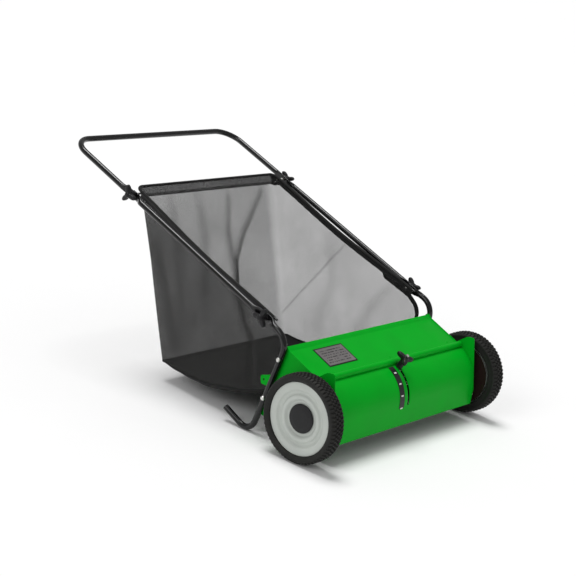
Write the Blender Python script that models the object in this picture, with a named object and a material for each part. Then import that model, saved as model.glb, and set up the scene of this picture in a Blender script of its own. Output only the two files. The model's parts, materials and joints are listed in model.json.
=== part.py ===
"""Push lawn sweeper: a sheet-steel brush housing on two geared wheels, a folding tube handle
and a mesh bag that drops onto the handle.  Metres, +Z up, front towards -Y, axle along X.

Every shape is drawn in the level frame: its origin is the middle of the wheel axle, +Y runs
back and +Z up while the machine is pushed.  One empty then leans the whole machine back by
PARKED_TILT, so that it stands on its wheels and the two feet of its handle tubes.
"""

import math

import bmesh
import bpy
import numpy as np
from mathutils import Vector
from mathutils.geometry import tessellate_polygon

# ---------------------------------------------------------------- driving dimensions (metres)
GAP = 0.0003                 # clearance between touching pieces
PARKED_TILT = math.radians(11.0)

WHEEL_RADIUS = 0.120
WHEEL_INNER_X = 0.357
WHEEL_OUTER_X = 0.408
RIM_RADIUS = 0.0978
CAP_RADIUS = 0.0392

PLATE_OUTER_X = 0.3302       # outer face of a side plate
PLATE_THICKNESS = 0.0020
SHEET = 0.0014               # cover and front panel
COVER_HALF = PLATE_OUTER_X - PLATE_THICKNESS - GAP

BRUSH_Y = 0.036              # brush axis, level with the axle and behind it
BRUSH_RADIUS = 0.092
PANEL_RADIUS = 0.100         # outside of the curved front panel, about the brush axis
PANEL_TOP_ANGLE = 122.0      # degrees about the brush axis, 0 = straight back, 90 = up
PANEL_STRAIGHT_ANGLE = 190.0
PANEL_BOTTOM_Z = -0.080

RING_TEETH = 54
PINION_TEETH = 18
GEAR_MODULE = 0.002          # (54 - 18) / 2 teeth x 2 mm = the 36 mm between axle and brush

KNOB_ANGLE = 129.5           # where the height knob stands in its slot
SWING_DEGREES = 58.0         # how far it slides down
SLOT_START_ANGLE = 127.0
SLOT_END_ANGLE = 193.5

HEIGHT_KNOB_NECK = 0.0260    # collar below the lobes of a knob
CLAMP_KNOB_NECK = 0.0060
KNOB_HEAD = 0.0175

TUBE_RADIUS = 0.0085
TUBE_X = 0.339               # centre plane of the handle tubes
LAP = 0.0044                 # thickness of a pressed-flat tube end
OUTER_LAP = 0.0045           # how far inside the tube's centre plane the outer of two laps sits
INNER_LAP = OUTER_LAP + LAP + GAP
HANDLE_SLOPE = math.radians(30.85)
LOWER_CLAMP = (0.172, 0.240)
CLAMP_SPACING = 0.5685       # between the lower and the upper clamp
HANDLE_REACH = 0.2785        # from the upper clamp to the crossbar
HANDLE_BEND = 0.065
LEG_LEAN = 0.4830            # run back per metre of drop of the lower tube
LEG_BOLTS_Z = (0.132, 0.0210)
LEG_BOLT_Y0 = 0.1135
TUBE_BEND = 0.050
FOOT_BEND = 0.036
HEEL_Z = -0.0858
TOE_SLOPE = math.radians(35.0)
TOE_REACH = 0.106

ROD_RADIUS = 0.0035          # bag frame
ROD_RISE = 0.0072            # rod centre above the clamp bolts' line
CLOTH = 0.0012

HANDLE_DIR = (math.cos(HANDLE_SLOPE), math.sin(HANDLE_SLOPE))
HANDLE_UP = (-math.sin(HANDLE_SLOPE), math.cos(HANDLE_SLOPE))
UPPER_CLAMP = (LOWER_CLAMP[0] + CLAMP_SPACING * HANDLE_DIR[0],
               LOWER_CLAMP[1] + CLAMP_SPACING * HANDLE_DIR[1])
CROSSBAR = (UPPER_CLAMP[0] + HANDLE_REACH * HANDLE_DIR[0],
            UPPER_CLAMP[1] + HANDLE_REACH * HANDLE_DIR[1])
HANDLE_REAR = (CROSSBAR[0] * math.cos(PARKED_TILT) + CROSSBAR[1] * math.sin(PARKED_TILT)
               + TUBE_RADIUS)
AXLE_Y = -(HANDLE_REAR - WHEEL_RADIUS) / 2      # puts the origin under the middle of the machine

# colour, roughness, metallic
FINISHES = {
    "green_paint": ((0.004, 0.330, 0.018), 0.32, 0.0),
    "black_paint": ((0.012, 0.012, 0.013), 0.28, 0.0),
    "black_plastic": ((0.016, 0.016, 0.017), 0.45, 0.0),
    "white_plastic": ((0.480, 0.520, 0.470), 0.45, 0.0),
    "rubber": ((0.020, 0.020, 0.019), 0.75, 0.0),
    "zinc": ((0.620, 0.620, 0.600), 0.30, 1.0),
    "grey_plastic": ((0.090, 0.092, 0.095), 0.55, 0.0),
    "brown_plastic": ((0.018, 0.009, 0.009), 0.50, 0.0),
    "felt": ((0.050, 0.047, 0.043), 0.95, 0.0),
    "label": ((0.200, 0.190, 0.190), 0.35, 0.4),
    "mesh_cloth": ((0.030, 0.030, 0.030), 0.85, 0.0),
    "black_cloth": ((0.022, 0.022, 0.022), 0.80, 0.0),
    "bristle": ((0.018, 0.018, 0.020), 0.65, 0.0),
}


# ---------------------------------------------------------------- scene and materials
def clear_scene():
    for thing in list(bpy.data.objects):
        bpy.data.objects.remove(thing, do_unlink=True)


def new_material(name, finish):
    colour, roughness, metallic = FINISHES[finish]
    made = bpy.data.materials.new(name + "_" + finish)
    made.use_nodes = True
    shader = made.node_tree.nodes["Principled BSDF"]
    shader.inputs["Base Color"].default_value = (*colour, 1.0)
    shader.inputs["Roughness"].default_value = roughness
    shader.inputs["Metallic"].default_value = metallic
    return made


def add_empty(name, location, parent=None):
    empty = bpy.data.objects.new(name, None)
    bpy.context.scene.collection.objects.link(empty)
    empty.parent = parent
    empty.location = location
    return empty


def add_solid(name, points, faces, finish, origin=(0, 0, 0), smooth=False):
    """Link a closed body whose points are given in the level frame; its origin is on its axis."""
    mesh = bpy.data.meshes.new(name)
    shifted = [tuple(p[i] - origin[i] for i in range(3)) for p in points]
    mesh.from_pydata(shifted, [], faces)
    work = bmesh.new()
    work.from_mesh(mesh)
    bmesh.ops.recalc_face_normals(work, faces=work.faces)
    work.to_mesh(mesh)
    work.free()
    if smooth:
        mesh.shade_smooth()
        mesh.set_sharp_from_angle(angle=math.radians(35))
    solid = bpy.data.objects.new(name, mesh)
    bpy.context.scene.collection.objects.link(solid)
    solid.parent = PARKED
    solid.location = origin
    if finish:
        mesh.materials.append(new_material(name, finish))
    return solid


def cut(solid, cutter):
    """Take a hidden cutter away from a solid."""
    cutter.hide_render = True
    cutter.display_type = "WIRE"
    boolean = solid.modifiers.new("cut_" + cutter.name, "BOOLEAN")
    boolean.operation = "DIFFERENCE"
    boolean.solver = "EXACT"
    boolean.object = cutter


def join(solid, extra):
    """Grow a solid by a second shape that overlaps it."""
    extra.hide_render = True
    extra.display_type = "WIRE"
    boolean = solid.modifiers.new("join_" + extra.name, "BOOLEAN")
    boolean.operation = "UNION"
    boolean.solver = "EXACT"
    boolean.object = extra


# ---------------------------------------------------------------- outlines in the (y, z) plane
def circle(centre, radius, count, start=0.0):
    steps = [start + 2 * math.pi * i / count for i in range(count)]
    return [(centre[0] + radius * math.cos(a), centre[1] + radius * math.sin(a)) for a in steps]


def arc(centre, radius, first, last, count):
    """Points on an arc, angles in degrees, both ends included."""
    steps = [math.radians(first + (last - first) * i / (count - 1)) for i in range(count)]
    return [(centre[0] + radius * math.cos(a), centre[1] + radius * math.sin(a)) for a in steps]


def thick_line(line, thickness):
    """Closed outline of a sheet bent along a line; the sheet grows to the line's right."""
    count = len(line)
    side = []
    for i in range(count):
        before = Vector(line[i]) - Vector(line[max(i - 1, 0)])
        after = Vector(line[min(i + 1, count - 1)]) - Vector(line[i])
        before = before.normalized() if before.length > 0 else after.normalized()
        after = after.normalized() if after.length > 0 else before
        mitre = (before + after).normalized()
        reach = thickness / max(0.5, mitre.dot(before))
        side.append((line[i][0] + mitre.y * reach, line[i][1] - mitre.x * reach))
    return list(line) + side[::-1]


def round_corners(corners, radii, step_degrees):
    """Polyline through corners with the inner ones rounded; corners may be 2-D or 3-D."""
    corners = [Vector(c) for c in corners]
    path = [corners[0]]
    for i in range(1, len(corners) - 1):
        back = (corners[i - 1] - corners[i]).normalized()
        ahead = (corners[i + 1] - corners[i]).normalized()
        opening = back.angle(ahead)
        trim = radii[i - 1] / math.tan(opening / 2)
        centre = corners[i] + (back + ahead).normalized() * radii[i - 1] / math.sin(opening / 2)
        start = corners[i] + back * trim - centre
        end = corners[i] + ahead * trim - centre
        turn = math.pi - opening
        steps = max(2, round(math.degrees(turn) / step_degrees))
        for k in range(steps + 1):
            share = k / steps
            a = math.sin((1 - share) * turn) / math.sin(turn)
            b = math.sin(share * turn) / math.sin(turn)
            path.append(centre + start * a + end * b)
    path.append(corners[-1])
    return path


# ---------------------------------------------------------------- solid builders
def prism(outline, x0, x1, holes=()):
    """Outline in (y, z), with holes, extruded along X from x0 to x1."""
    loops = [list(outline)] + [list(h) for h in holes]
    flat = [[Vector((p[0], p[1], 0.0)) for p in loop] for loop in loops]
    triangles = tessellate_polygon(flat)
    ring = [p for loop in loops for p in loop]
    count = len(ring)
    points = [(x0, p[0], p[1]) for p in ring] + [(x1, p[0], p[1]) for p in ring]
    faces = [tuple(t) for t in triangles]
    faces += [tuple(i + count for i in reversed(t)) for t in triangles]
    first = 0
    for loop in loops:
        size = len(loop)
        for i in range(size):
            a, b = first + i, first + (i + 1) % size
            faces.append((a, b, b + count, a + count))
        first += size
    return points, faces


def turned(profile, centre, segments, side=1.0, start=0.0):
    """Closed (x, radius) profile turned about the X line through centre; radius 0 is a pole."""
    points, rings = [], []
    for x, radius in profile:
        if radius == 0.0:
            rings.append([len(points)])
            points.append((side * x, centre[0], centre[1]))
            continue
        rings.append(list(range(len(points), len(points) + segments)))
        for y, z in circle(centre, radius, segments, start):
            points.append((side * x, y, z))
    faces = []
    closed = profile[0][1] > 0.0 and profile[-1][1] > 0.0
    last = len(rings) if closed else len(rings) - 1
    for r in range(last):
        one, two = rings[r], rings[(r + 1) % len(rings)]
        for i in range(segments):
            j = (i + 1) % segments
            corner = [one[i % len(one)], one[j % len(one)], two[j % len(two)], two[i % len(two)]]
            corner = list(dict.fromkeys(corner))
            if len(corner) > 2:
                faces.append(tuple(corner))
    return points, faces


def swept(path, normal, sections):
    """Section outlines (a, b) carried along a planar path; b follows the plane's normal."""
    normal = Vector(normal)
    points, faces = [], []
    size = len(sections[0])
    for i, at in enumerate(path):
        ahead = path[min(i + 1, len(path) - 1)] - path[max(i - 1, 0)]
        side = ahead.normalized().cross(normal)
        for a, b in sections[i]:
            points.append(tuple(at + side * a + normal * b))
    for i in range(len(path) - 1):
        for k in range(size):
            a, b = i * size + k, i * size + (k + 1) % size
            faces.append((a, b, b + size, a + size))
    faces.append(tuple(range(size)))
    faces.append(tuple(range(len(points) - size, len(points)))[::-1])
    return points, faces


def round_section(radius, count=12):
    return circle((0.0, 0.0), radius, count, math.pi / count)


def lap_section(shift, count=12):
    """Tube end pressed flat: wide across the tube, LAP thick along X, moved sideways."""
    shape = []
    for a, b in circle((0.0, 0.0), 1.0, count, math.pi / count):
        wide = max(-0.0112, min(0.0112, a * 0.0124))
        thick = max(-LAP / 2, min(LAP / 2, b * LAP * 1.1))
        shape.append((wide, thick + shift))
    return shape


def blend_sections(one, two, share):
    return [(p[0] + (q[0] - p[0]) * share, p[1] + (q[1] - p[1]) * share)
            for p, q in zip(one, two)]


def thick_sheet(grid, offsets):
    """Closed solid between a grid of points and the same grid moved by its offsets."""
    rows, columns = len(grid), len(grid[0])
    points = [tuple(p) for row in grid for p in row]
    points += [tuple(Vector(grid[i][j]) + Vector(offsets[i][j]))
               for i in range(rows) for j in range(columns)]
    total = rows * columns
    faces = []
    for i in range(rows - 1):
        for j in range(columns - 1):
            a, b = i * columns + j, i * columns + j + 1
            c, d = b + columns, a + columns
            faces.append((a, b, c, d))
            faces.append((a + total, d + total, c + total, b + total))
    edge = [j for j in range(columns)]
    edge += [i * columns + columns - 1 for i in range(1, rows)]
    edge += [(rows - 1) * columns + j for j in range(columns - 2, -1, -1)]
    edge += [i * columns for i in range(rows - 2, 0, -1)]
    for k, a in enumerate(edge):
        b = edge[(k + 1) % len(edge)]
        faces.append((a, a + total, b + total, b))
    return points, faces


def sides():
    """Both sides of the machine: the operator's right is at -X."""
    return (("left", 1.0), ("right", -1.0))


def rounded_disc(radius, x0, x1, bevel):
    """Profile of a turned disc with softened rims."""
    return [(x0, 0.0), (x0, radius - bevel), (x0 + bevel, radius), (x1 - bevel, radius),
            (x1, radius - bevel), (x1, 0.0)]


# ---------------------------------------------------------------- housing
def panel_point(angle, offset):
    """Point on the front panel: an arc about the brush axis, then straight down its tangent."""
    bend = min(angle, PANEL_STRAIGHT_ANGLE)
    a = math.radians(bend)
    radius = PANEL_RADIUS + offset
    run = PANEL_RADIUS * math.radians(angle - bend)
    return (BRUSH_Y + radius * math.cos(a) - run * math.sin(a),
            radius * math.sin(a) + run * math.cos(a))


def panel_bottom_angle():
    a = math.radians(PANEL_STRAIGHT_ANGLE)
    run = (PANEL_RADIUS * math.sin(a) - PANEL_BOTTOM_Z) / -math.cos(a)
    return PANEL_STRAIGHT_ANGLE + math.degrees(run / PANEL_RADIUS)


def leg_y(z):
    """Centre line of a lower tube between its bends."""
    return LEG_BOLT_Y0 + (LEG_BOLTS_Z[0] - z) * LEG_LEAN


def build_cover():
    roll = arc((-0.013, 0.092), 0.009, 192.0, 30.0, 10)
    line = roll + [(-0.0015, 0.0962), (0.090, 0.1548), (0.099, 0.1668)]
    points, faces = prism(thick_line(line, SHEET), -COVER_HALF, COVER_HALF)
    add_solid("top_cover", points, faces, "green_paint")


def build_front_panel():
    bottom = panel_bottom_angle()
    angles = [PANEL_TOP_ANGLE + 4.0 * i for i in range(18)]
    line = [panel_point(a, 0.0) for a in angles if a < bottom - 1.0]
    line.append(panel_point(bottom, 0.0))
    line.append((line[-1][0] + 0.010, line[-1][1] - 0.002))
    points, faces = prism(thick_line(line[::-1], SHEET), -COVER_HALF, COVER_HALF)
    panel = add_solid("front_panel", points, faces, "green_paint")
    steps = [SLOT_START_ANGLE + (SLOT_END_ANGLE - SLOT_START_ANGLE) * i / 12 for i in range(13)]
    slot = [panel_point(a, 0.006) for a in steps] + [panel_point(a, -0.006) for a in steps[::-1]]
    points, faces = prism(slot, -0.0042, 0.0042)
    cut(panel, add_solid("slot_cutter", points, faces, None))


def build_height_scale():
    steps = [126.0 + 70.0 * i / 12 for i in range(13)]
    outer = [panel_point(a, 0.0011) for a in steps]
    inner = [panel_point(a, GAP) for a in steps[::-1]]
    points, faces = prism(outer + inner, -0.042, -0.020)
    add_solid("height_scale", points, faces, "black_plastic")


def build_data_plate():
    slope = Vector((0.0915, 0.0586)).normalized()
    up = Vector((-slope.y, slope.x))
    foot = Vector((-0.0015, 0.0962)) + slope * 0.025
    low, high = foot + up * GAP, foot + up * 0.0010
    reach = slope * 0.071
    outline = [tuple(low), tuple(low + reach), tuple(high + reach), tuple(high)]
    points, faces = prism(outline, -0.246, -0.123)
    add_solid("data_plate", points, faces, "label")


def plate_outline():
    back = 0.0155
    rear = [(leg_y(z) + back, z) for z in (-0.022, 0.052)]
    tab = [(0.186, 0.056), (0.188, 0.060), (0.188, 0.076), (0.185, 0.079)]
    rear_up = [(leg_y(z) + back, z) for z in (0.084, 0.140)]
    top = [(0.114, 0.160), (0.107, 0.1668), (0.0985, 0.1683), (0.090, 0.1568)]
    front = [(-0.001, 0.0980), (-0.010, 0.1020), (-0.036, 0.1150), (-0.044, 0.1165),
             (-0.058, 0.1150), (-0.062, 0.1110), (-0.062, -0.035), (-0.052, -0.080)]
    return [(0.060, -0.080)] + rear + tab + rear_up + top + front


def build_side_plates():
    swing = math.radians(SWING_DEGREES)
    half = 0.0108
    low_end = (BRUSH_Y - BRUSH_Y * math.cos(swing), -BRUSH_Y * math.sin(swing))
    last = 180.0 + SWING_DEGREES
    track = arc((BRUSH_Y, 0.0), BRUSH_Y + half, 180.0, last, 9)
    track += arc(low_end, half, last, last + 180.0, 9)[1:-1]
    track += arc((BRUSH_Y, 0.0), BRUSH_Y - half, last, 180.0, 9)
    track += arc((0.0, 0.0), half, 0.0, 180.0, 9)[1:-1]
    holes = [track, circle((BRUSH_Y, 0.0), 0.0103, 24)]
    holes += [circle((leg_y(z), z), 0.0034, 12) for z in LEG_BOLTS_Z]
    holes.append(circle((0.178, 0.068), 0.0035, 12))
    for side, sign in sides():
        outer, inner = sign * PLATE_OUTER_X, sign * (PLATE_OUTER_X - PLATE_THICKNESS)
        points, faces = prism(plate_outline(), inner, outer, holes)
        add_solid("side_plate_" + side, points, faces, "green_paint")


def build_rear_tie_bar():
    z = LEG_BOLTS_Z[1]
    profile = [(-0.3232, 0.0), (-0.3232, 0.007), (0.3232, 0.007), (0.3232, 0.0)]
    points, faces = turned(profile, (leg_y(z), z), 16)
    add_solid("rear_tie_bar", points, faces, "black_paint", smooth=True)


def build_leg_bolts():
    """Dome-headed bolts through tube and plate, each with its nut inside."""
    for side, sign in sides():
        for place, z in zip(("upper", "lower"), LEG_BOLTS_Z):
            outer = TUBE_X + TUBE_RADIUS + GAP
            inner = PLATE_OUTER_X - PLATE_THICKNESS - GAP
            profile = [(inner - 0.0040, 0.0), (inner - 0.0040, 0.0058), (inner, 0.0058),
                       (inner, 0.0030), (outer, 0.0030), (outer, 0.0068),
                       (outer + 0.0024, 0.0058), (outer + 0.0040, 0.0034), (outer + 0.0045, 0.0)]
            points, faces = turned(profile, (leg_y(z), z), 12, sign)
            add_solid("tube_bolt_" + place + "_" + side, points, faces, "zinc", smooth=True)


# ---------------------------------------------------------------- height adjustment
def build_swing_frame():
    """Arms that turn about the brush axis and carry the wheels, joined by a front bar."""
    bar_low, bar_high = KNOB_ANGLE + 7.0, KNOB_ANGLE - 6.0
    hub, axle = (BRUSH_Y, 0.0), (0.0, 0.0)
    tip = [(BRUSH_Y + 0.0978 * math.cos(math.radians(a)), 0.0978 * math.sin(math.radians(a)))
           for a in (bar_high, (bar_low + bar_high) / 2, bar_low)]
    outline = arc(hub, 0.020, -90.0, 62.0, 9) + tip + arc(axle, 0.015, 160.0, 270.0, 8)
    holes = [circle(hub, 0.0104, 24), circle(axle, 0.0064, 16)]
    for side, sign in sides():
        outer = sign * (PLATE_OUTER_X - PLATE_THICKNESS - 0.0006)
        inner = outer - sign * 0.0025
        points, faces = prism(outline, inner, outer, holes)
        add_solid("swing_arm_" + side, points, faces, "zinc", (0.0, BRUSH_Y, 0.0))
    bar = [panel_point(a, -0.0024) for a in (bar_high, KNOB_ANGLE - 3, KNOB_ANGLE, bar_low)]
    bar += [panel_point(a, -0.0044) for a in (bar_low, KNOB_ANGLE, KNOB_ANGLE - 3, bar_high)]
    reach = PLATE_OUTER_X - PLATE_THICKNESS - 0.0034
    points, faces = prism(bar, -reach, reach)
    return add_solid("swing_bar", points, faces, "zinc", (0.0, BRUSH_Y, 0.0))


def turned_radially(profile, angle, segments):
    """(distance from the brush axis, radius) profile turned about a spoke at X = 0."""
    a = math.radians(angle)
    along, across = Vector((0.0, math.cos(a), math.sin(a))), Vector((1.0, 0.0, 0.0))
    third = along.cross(across)
    centre = Vector((0.0, BRUSH_Y, 0.0))
    flat, faces = turned(profile, (0.0, 0.0), segments)
    points = [tuple(centre + along * p[0] + across * p[1] + third * p[2]) for p in flat]
    return points, faces


def lobed(radius, waist, lobes, count, turn):
    """Outline of a hand knob: radius swells to a rounded lobe a few times around."""
    shape = []
    for i in range(count):
        a = 2 * math.pi * i / count
        swell = (0.5 + 0.5 * math.cos(lobes * a)) ** 1.6
        shape.append(((waist + (radius - waist) * swell) * math.cos(a + turn),
                      (waist + (radius - waist) * swell) * math.sin(a + turn)))
    return shape


def knob_solid(base, along, across, neck_height, turn):
    """Three-lobed hand knob with a blind bore for its bolt, standing on base along a line."""
    third = along.cross(across)
    count, bore_count = 18, 9
    wide, neck = lobed(0.0235, 0.0085, 3, count, turn), circle((0, 0), 0.0095, count, turn)
    slim = [(p[0] * 0.90, p[1] * 0.90) for p in wide]
    bore = circle((0, 0), 0.0034, bore_count, turn)
    levels = [(neck, 0.0), (neck, neck_height), (slim, neck_height + 0.0005),
              (wide, neck_height + 0.0025), (wide, neck_height + 0.0100),
              (slim, neck_height + 0.0130),
              (circle((0, 0), 0.0062, count, turn), neck_height + KNOB_HEAD)]
    points, faces = [], []
    for shape, rise in levels:
        points += [tuple(base + along * rise + across * p[0] + third * p[1]) for p in shape]
    for r in range(len(levels) - 1):
        for i in range(count):
            j = (i + 1) % count
            faces.append((r * count + i, r * count + j, (r + 1) * count + j, (r + 1) * count + i))
    faces.append(tuple(range((len(levels) - 1) * count, len(levels) * count)))
    start = len(points)
    for rise in (0.0, neck_height + 0.0115):
        points += [tuple(base + along * rise + across * p[0] + third * p[1]) for p in bore]
    for i in range(bore_count):
        j = (i + 1) % bore_count
        faces.append((start + i, start + i + bore_count, start + j + bore_count, start + j))
        a, b = 2 * i, (2 * i + 1) % count
        c = (2 * i + 2) % count
        faces.append((a, b, start + i))
        faces.append((b, c, start + j))
        faces.append((b, start + j, start + i))
    faces.append(tuple(range(start + bore_count, start + 2 * bore_count)))
    return points, faces


def build_height_knob(swing_bar):
    end = PANEL_RADIUS + HEIGHT_KNOB_NECK + 0.0120
    stud = [(0.0966, 0.0), (0.0966, 0.0030), (end, 0.0030), (end, 0.0)]
    points, faces = turned_radially(stud, KNOB_ANGLE, 12)
    join(swing_bar, add_solid("height_stud", points, faces, None))
    a = math.radians(KNOB_ANGLE)
    along = Vector((0.0, math.cos(a), math.sin(a)))
    base = Vector((0.0, BRUSH_Y, 0.0)) + along * (PANEL_RADIUS + GAP + 0.0016)
    points, faces = knob_solid(base, along, Vector((1.0, 0.0, 0.0)), HEIGHT_KNOB_NECK,
                               math.radians(20))
    add_solid("height_knob", points, faces, "black_plastic", tuple(base), smooth=True)


# ---------------------------------------------------------------- wheels and drive
def gear_outline(teeth, inside, start):
    """Straight-sided teeth; an inside gear's tips point to its centre."""
    pitch = GEAR_MODULE * teeth / 2
    tip = pitch - 0.0015 if inside else pitch + 0.0015
    root = pitch + 0.0021 if inside else pitch - 0.0021
    width = 2 * math.pi / teeth
    shape = []
    for i in range(teeth):
        middle = start + i * width
        for share, radius in ((-0.31, root), (-0.13, tip), (0.13, tip), (0.31, root)):
            a = middle + share * width
            shape.append((radius * math.cos(a), radius * math.sin(a)))
    return shape


def build_wheels():
    half_tooth = math.pi / RING_TEETH
    inner_x = WHEEL_INNER_X
    for side, sign in sides():
        tread = [(inner_x, RIM_RADIUS + GAP), (inner_x, 0.1120), (inner_x + 0.0045, 0.1178),
                 (inner_x + 0.012, WHEEL_RADIUS), (WHEEL_OUTER_X - 0.012, WHEEL_RADIUS),
                 (WHEEL_OUTER_X - 0.0045, 0.1178), (WHEEL_OUTER_X, 0.1120),
                 (WHEEL_OUTER_X - 0.002, 0.1030), (WHEEL_OUTER_X - 0.0055, RIM_RADIUS + GAP)]
        points, faces = turned(tread, (0.0, 0.0), 36, sign)
        add_solid("tyre_" + side, points, faces, "rubber", smooth=True)
        rim = [(inner_x + 0.0005, RIM_RADIUS), (0.3985, RIM_RADIUS),
               (0.3985, 0.0860), (0.3910, 0.0740), (0.3945, 0.0620),
               (0.3945, 0.0560), (0.3880, 0.0420), (0.3880, 0.0150),
               (0.3836, 0.0145), (0.3836, 0.0063), (0.3535, 0.0063), (0.3535, 0.0130),
               (0.3850, 0.0145), (0.3850, 0.0475), (0.3940, 0.0945),
               (inner_x + 0.0005, 0.0945)]
        points, faces = turned(rim, (0.0, 0.0), 36, sign)
        wheel = add_solid("wheel_rim_" + side, points, faces, "white_plastic", smooth=True)
        ring = gear_outline(RING_TEETH, True, half_tooth)
        points, faces = prism(circle((0, 0), 0.0605, 36), sign * (inner_x + 0.0015),
                              sign * 0.3905, [ring])
        join(wheel, add_solid("ring_gear_" + side, points, faces, None))
        cap = [(0.3884, 0.0), (0.3884, 0.0330), (0.3884, CAP_RADIUS), (0.3915, CAP_RADIUS),
               (0.3935, CAP_RADIUS - 0.0025), (0.3950, 0.0250), (0.3955, 0.0)]
        cap = [(0.3898, 0.0), (0.3898, 0.0340), (0.3884, 0.0350)] + cap[2:]
        points, faces = turned(cap, (0.0, 0.0), 24, sign)
        add_solid("hub_cap_" + side, points, faces, "black_plastic", smooth=True)
        axle = [(0.3190, 0.0), (0.3190, 0.0100), (0.3248, 0.0100), (0.3248, 0.0060),
                (0.3279, 0.0060), (0.3279, 0.0100), (0.3518, 0.0100), (0.3518, 0.0060),
                (0.3839, 0.0060), (0.3839, 0.0110), (0.3862, 0.0110), (0.3862, 0.0060),
                (0.3888, 0.0045), (0.3888, 0.0)]
        points, faces = turned(axle, (0.0, 0.0), 12, sign)
        add_solid("stub_axle_" + side, points, faces, "zinc", smooth=True)


def build_dust_covers():
    screws = [(-0.004, 0.0705), (-0.0425, -0.0565)]
    for side, sign in sides():
        holes = [circle((0.0, 0.0), 0.0063, 16), circle((BRUSH_Y, 0.0), 0.0070, 16)]
        holes += [circle(c, 0.0024, 8) for c in screws]
        points, faces = prism(circle((0.0, 0.0), 0.0890, 40), sign * 0.3521, sign * 0.3533, holes)
        add_solid("dust_cover_" + side, points, faces, "brown_plastic", (0.0, BRUSH_Y, 0.0))
        for number, (y, z) in enumerate(screws):
            profile = [(0.3489, 0.0), (0.3494, 0.0034), (0.3518, 0.0042), (0.3518, 0.0021),
                       (0.3536, 0.0021), (0.3536, 0.0036), (0.3556, 0.0036), (0.3556, 0.0)]
            points, faces = turned(profile, (y, z), 10, sign)
            add_solid("cover_screw_%d_%s" % (number + 1, side), points, faces, "zinc")


def build_pinions():
    centre = (BRUSH_Y, 0.0)
    for side, sign in sides():
        teeth = [(y + BRUSH_Y, z) for y, z in gear_outline(PINION_TEETH, False, 0.0)]
        points, faces = prism(teeth, sign * 0.3580, sign * 0.3720, [circle(centre, 0.0053, 16)])
        pinion = add_solid("pinion_" + side, points, faces, "grey_plastic", (0.0, BRUSH_Y, 0.0))
        points, faces = prism(circle(centre, 0.0118, 16), sign * 0.3500, sign * 0.3626)
        cut(pinion, add_solid("ratchet_cup_" + side, points, faces, None))
        points, faces = prism([(BRUSH_Y - 0.0019, -0.0100), (BRUSH_Y + 0.0019, -0.0100),
                               (BRUSH_Y + 0.0019, 0.0100), (BRUSH_Y - 0.0019, 0.0100)],
                              sign * 0.3585, sign * 0.3617)
        add_solid("ratchet_key_" + side, points, faces, "zinc", (0.0, BRUSH_Y, 0.0))
        bush = [(0.3242, 0.0053), (0.3242, 0.0100), (0.3305, 0.0100), (0.3305, 0.0130),
                (0.3325, 0.0130), (0.3325, 0.0053)]
        points, faces = turned(bush, centre, 20, sign)
        add_solid("brush_bearing_" + side, points, faces, "black_plastic")


def build_brush():
    centre = (BRUSH_Y, 0.0)
    profile = [(-0.3745, 0.0), (-0.3745, 0.0050), (0.3745, 0.0050), (0.3745, 0.0)]
    points, faces = turned(profile, centre, 16)
    shaft = add_solid("brush_shaft", points, faces, "zinc", (0.0, BRUSH_Y, 0.0), smooth=True)
    for side, sign in sides():
        points, faces = prism([(BRUSH_Y - 0.0022, -0.0090), (BRUSH_Y + 0.0022, -0.0090),
                               (BRUSH_Y + 0.0022, 0.0090), (BRUSH_Y - 0.0022, 0.0090)],
                              sign * 0.3582, sign * 0.3620)
        cut(shaft, add_solid("key_slot_" + side, points, faces, None))
    for name, x in (("left", 0.240), ("right", -0.240)):
        points, faces = prism(lobed(0.0300, 0.0120, 4, 32, 0.0), x - 0.008, x + 0.008,
                              [circle((0, 0), 0.0053, 16)])
        points = [(p[0], p[1] + BRUSH_Y, p[2]) for p in points]
        add_solid("brush_spider_" + name, points, faces, "grey_plastic", (0.0, BRUSH_Y, 0.0))
    for number in range(4):
        turn = number * math.pi / 2
        out, across = (math.cos(turn), math.sin(turn)), (-math.sin(turn), math.cos(turn))
        shape = [(0.0303, 0.0080), (0.0420, 0.0080), (0.0420, 0.0045), (BRUSH_RADIUS, 0.0090)]
        shape += [(r, -w) for r, w in shape[::-1]]
        outline = [(BRUSH_Y + out[0] * r + across[0] * w, out[1] * r + across[1] * w)
                   for r, w in shape]
        points, faces = prism(outline, -0.3180, 0.3180)
        add_solid("brush_strip_%d" % (number + 1), points, faces, "bristle",
                  (0.0, BRUSH_Y, 0.0))


# ---------------------------------------------------------------- handle
def lower_tube_path(x):
    top = Vector((x, LOWER_CLAMP[0] + 0.012 * HANDLE_DIR[0], LOWER_CLAMP[1] + 0.012 * HANDLE_DIR[1]))
    run = (LOWER_CLAMP[0] - leg_y(LOWER_CLAMP[1])) / (HANDLE_DIR[0] + HANDLE_DIR[1] * LEG_LEAN)
    knee = Vector((x, LOWER_CLAMP[0] - run * HANDLE_DIR[0], LOWER_CLAMP[1] - run * HANDLE_DIR[1]))
    heel = Vector((x, leg_y(HEEL_Z), HEEL_Z))
    toe = heel + Vector((0.0, math.cos(TOE_SLOPE), math.sin(TOE_SLOPE))) * TOE_REACH
    return round_corners([top, knee, heel, toe], [TUBE_BEND, FOOT_BEND], 12.0)


def with_lap(path, at_start, shift, flat=0.030, swell=0.020):
    """Cut a tube path where its pressed end begins and say which section each point has."""
    points = list(path) if at_start else list(path)[::-1]
    way = (points[1] - points[0]).normalized()
    head = [points[0], points[0] + way * flat, points[0] + way * (flat + swell)]
    round_shape, lap = round_section(TUBE_RADIUS), lap_section(shift)
    shapes = [lap, lap, round_shape] + [round_shape] * (len(points) - 1)
    points = head + points[1:]
    if not at_start:
        points, shapes = points[::-1], shapes[::-1]
    return points, shapes


def bolt_hole(name, y, z, x0, x1, radius):
    points, faces = prism(circle((y, z), radius, 12), x0, x1)
    return add_solid(name, points, faces, None)


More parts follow.
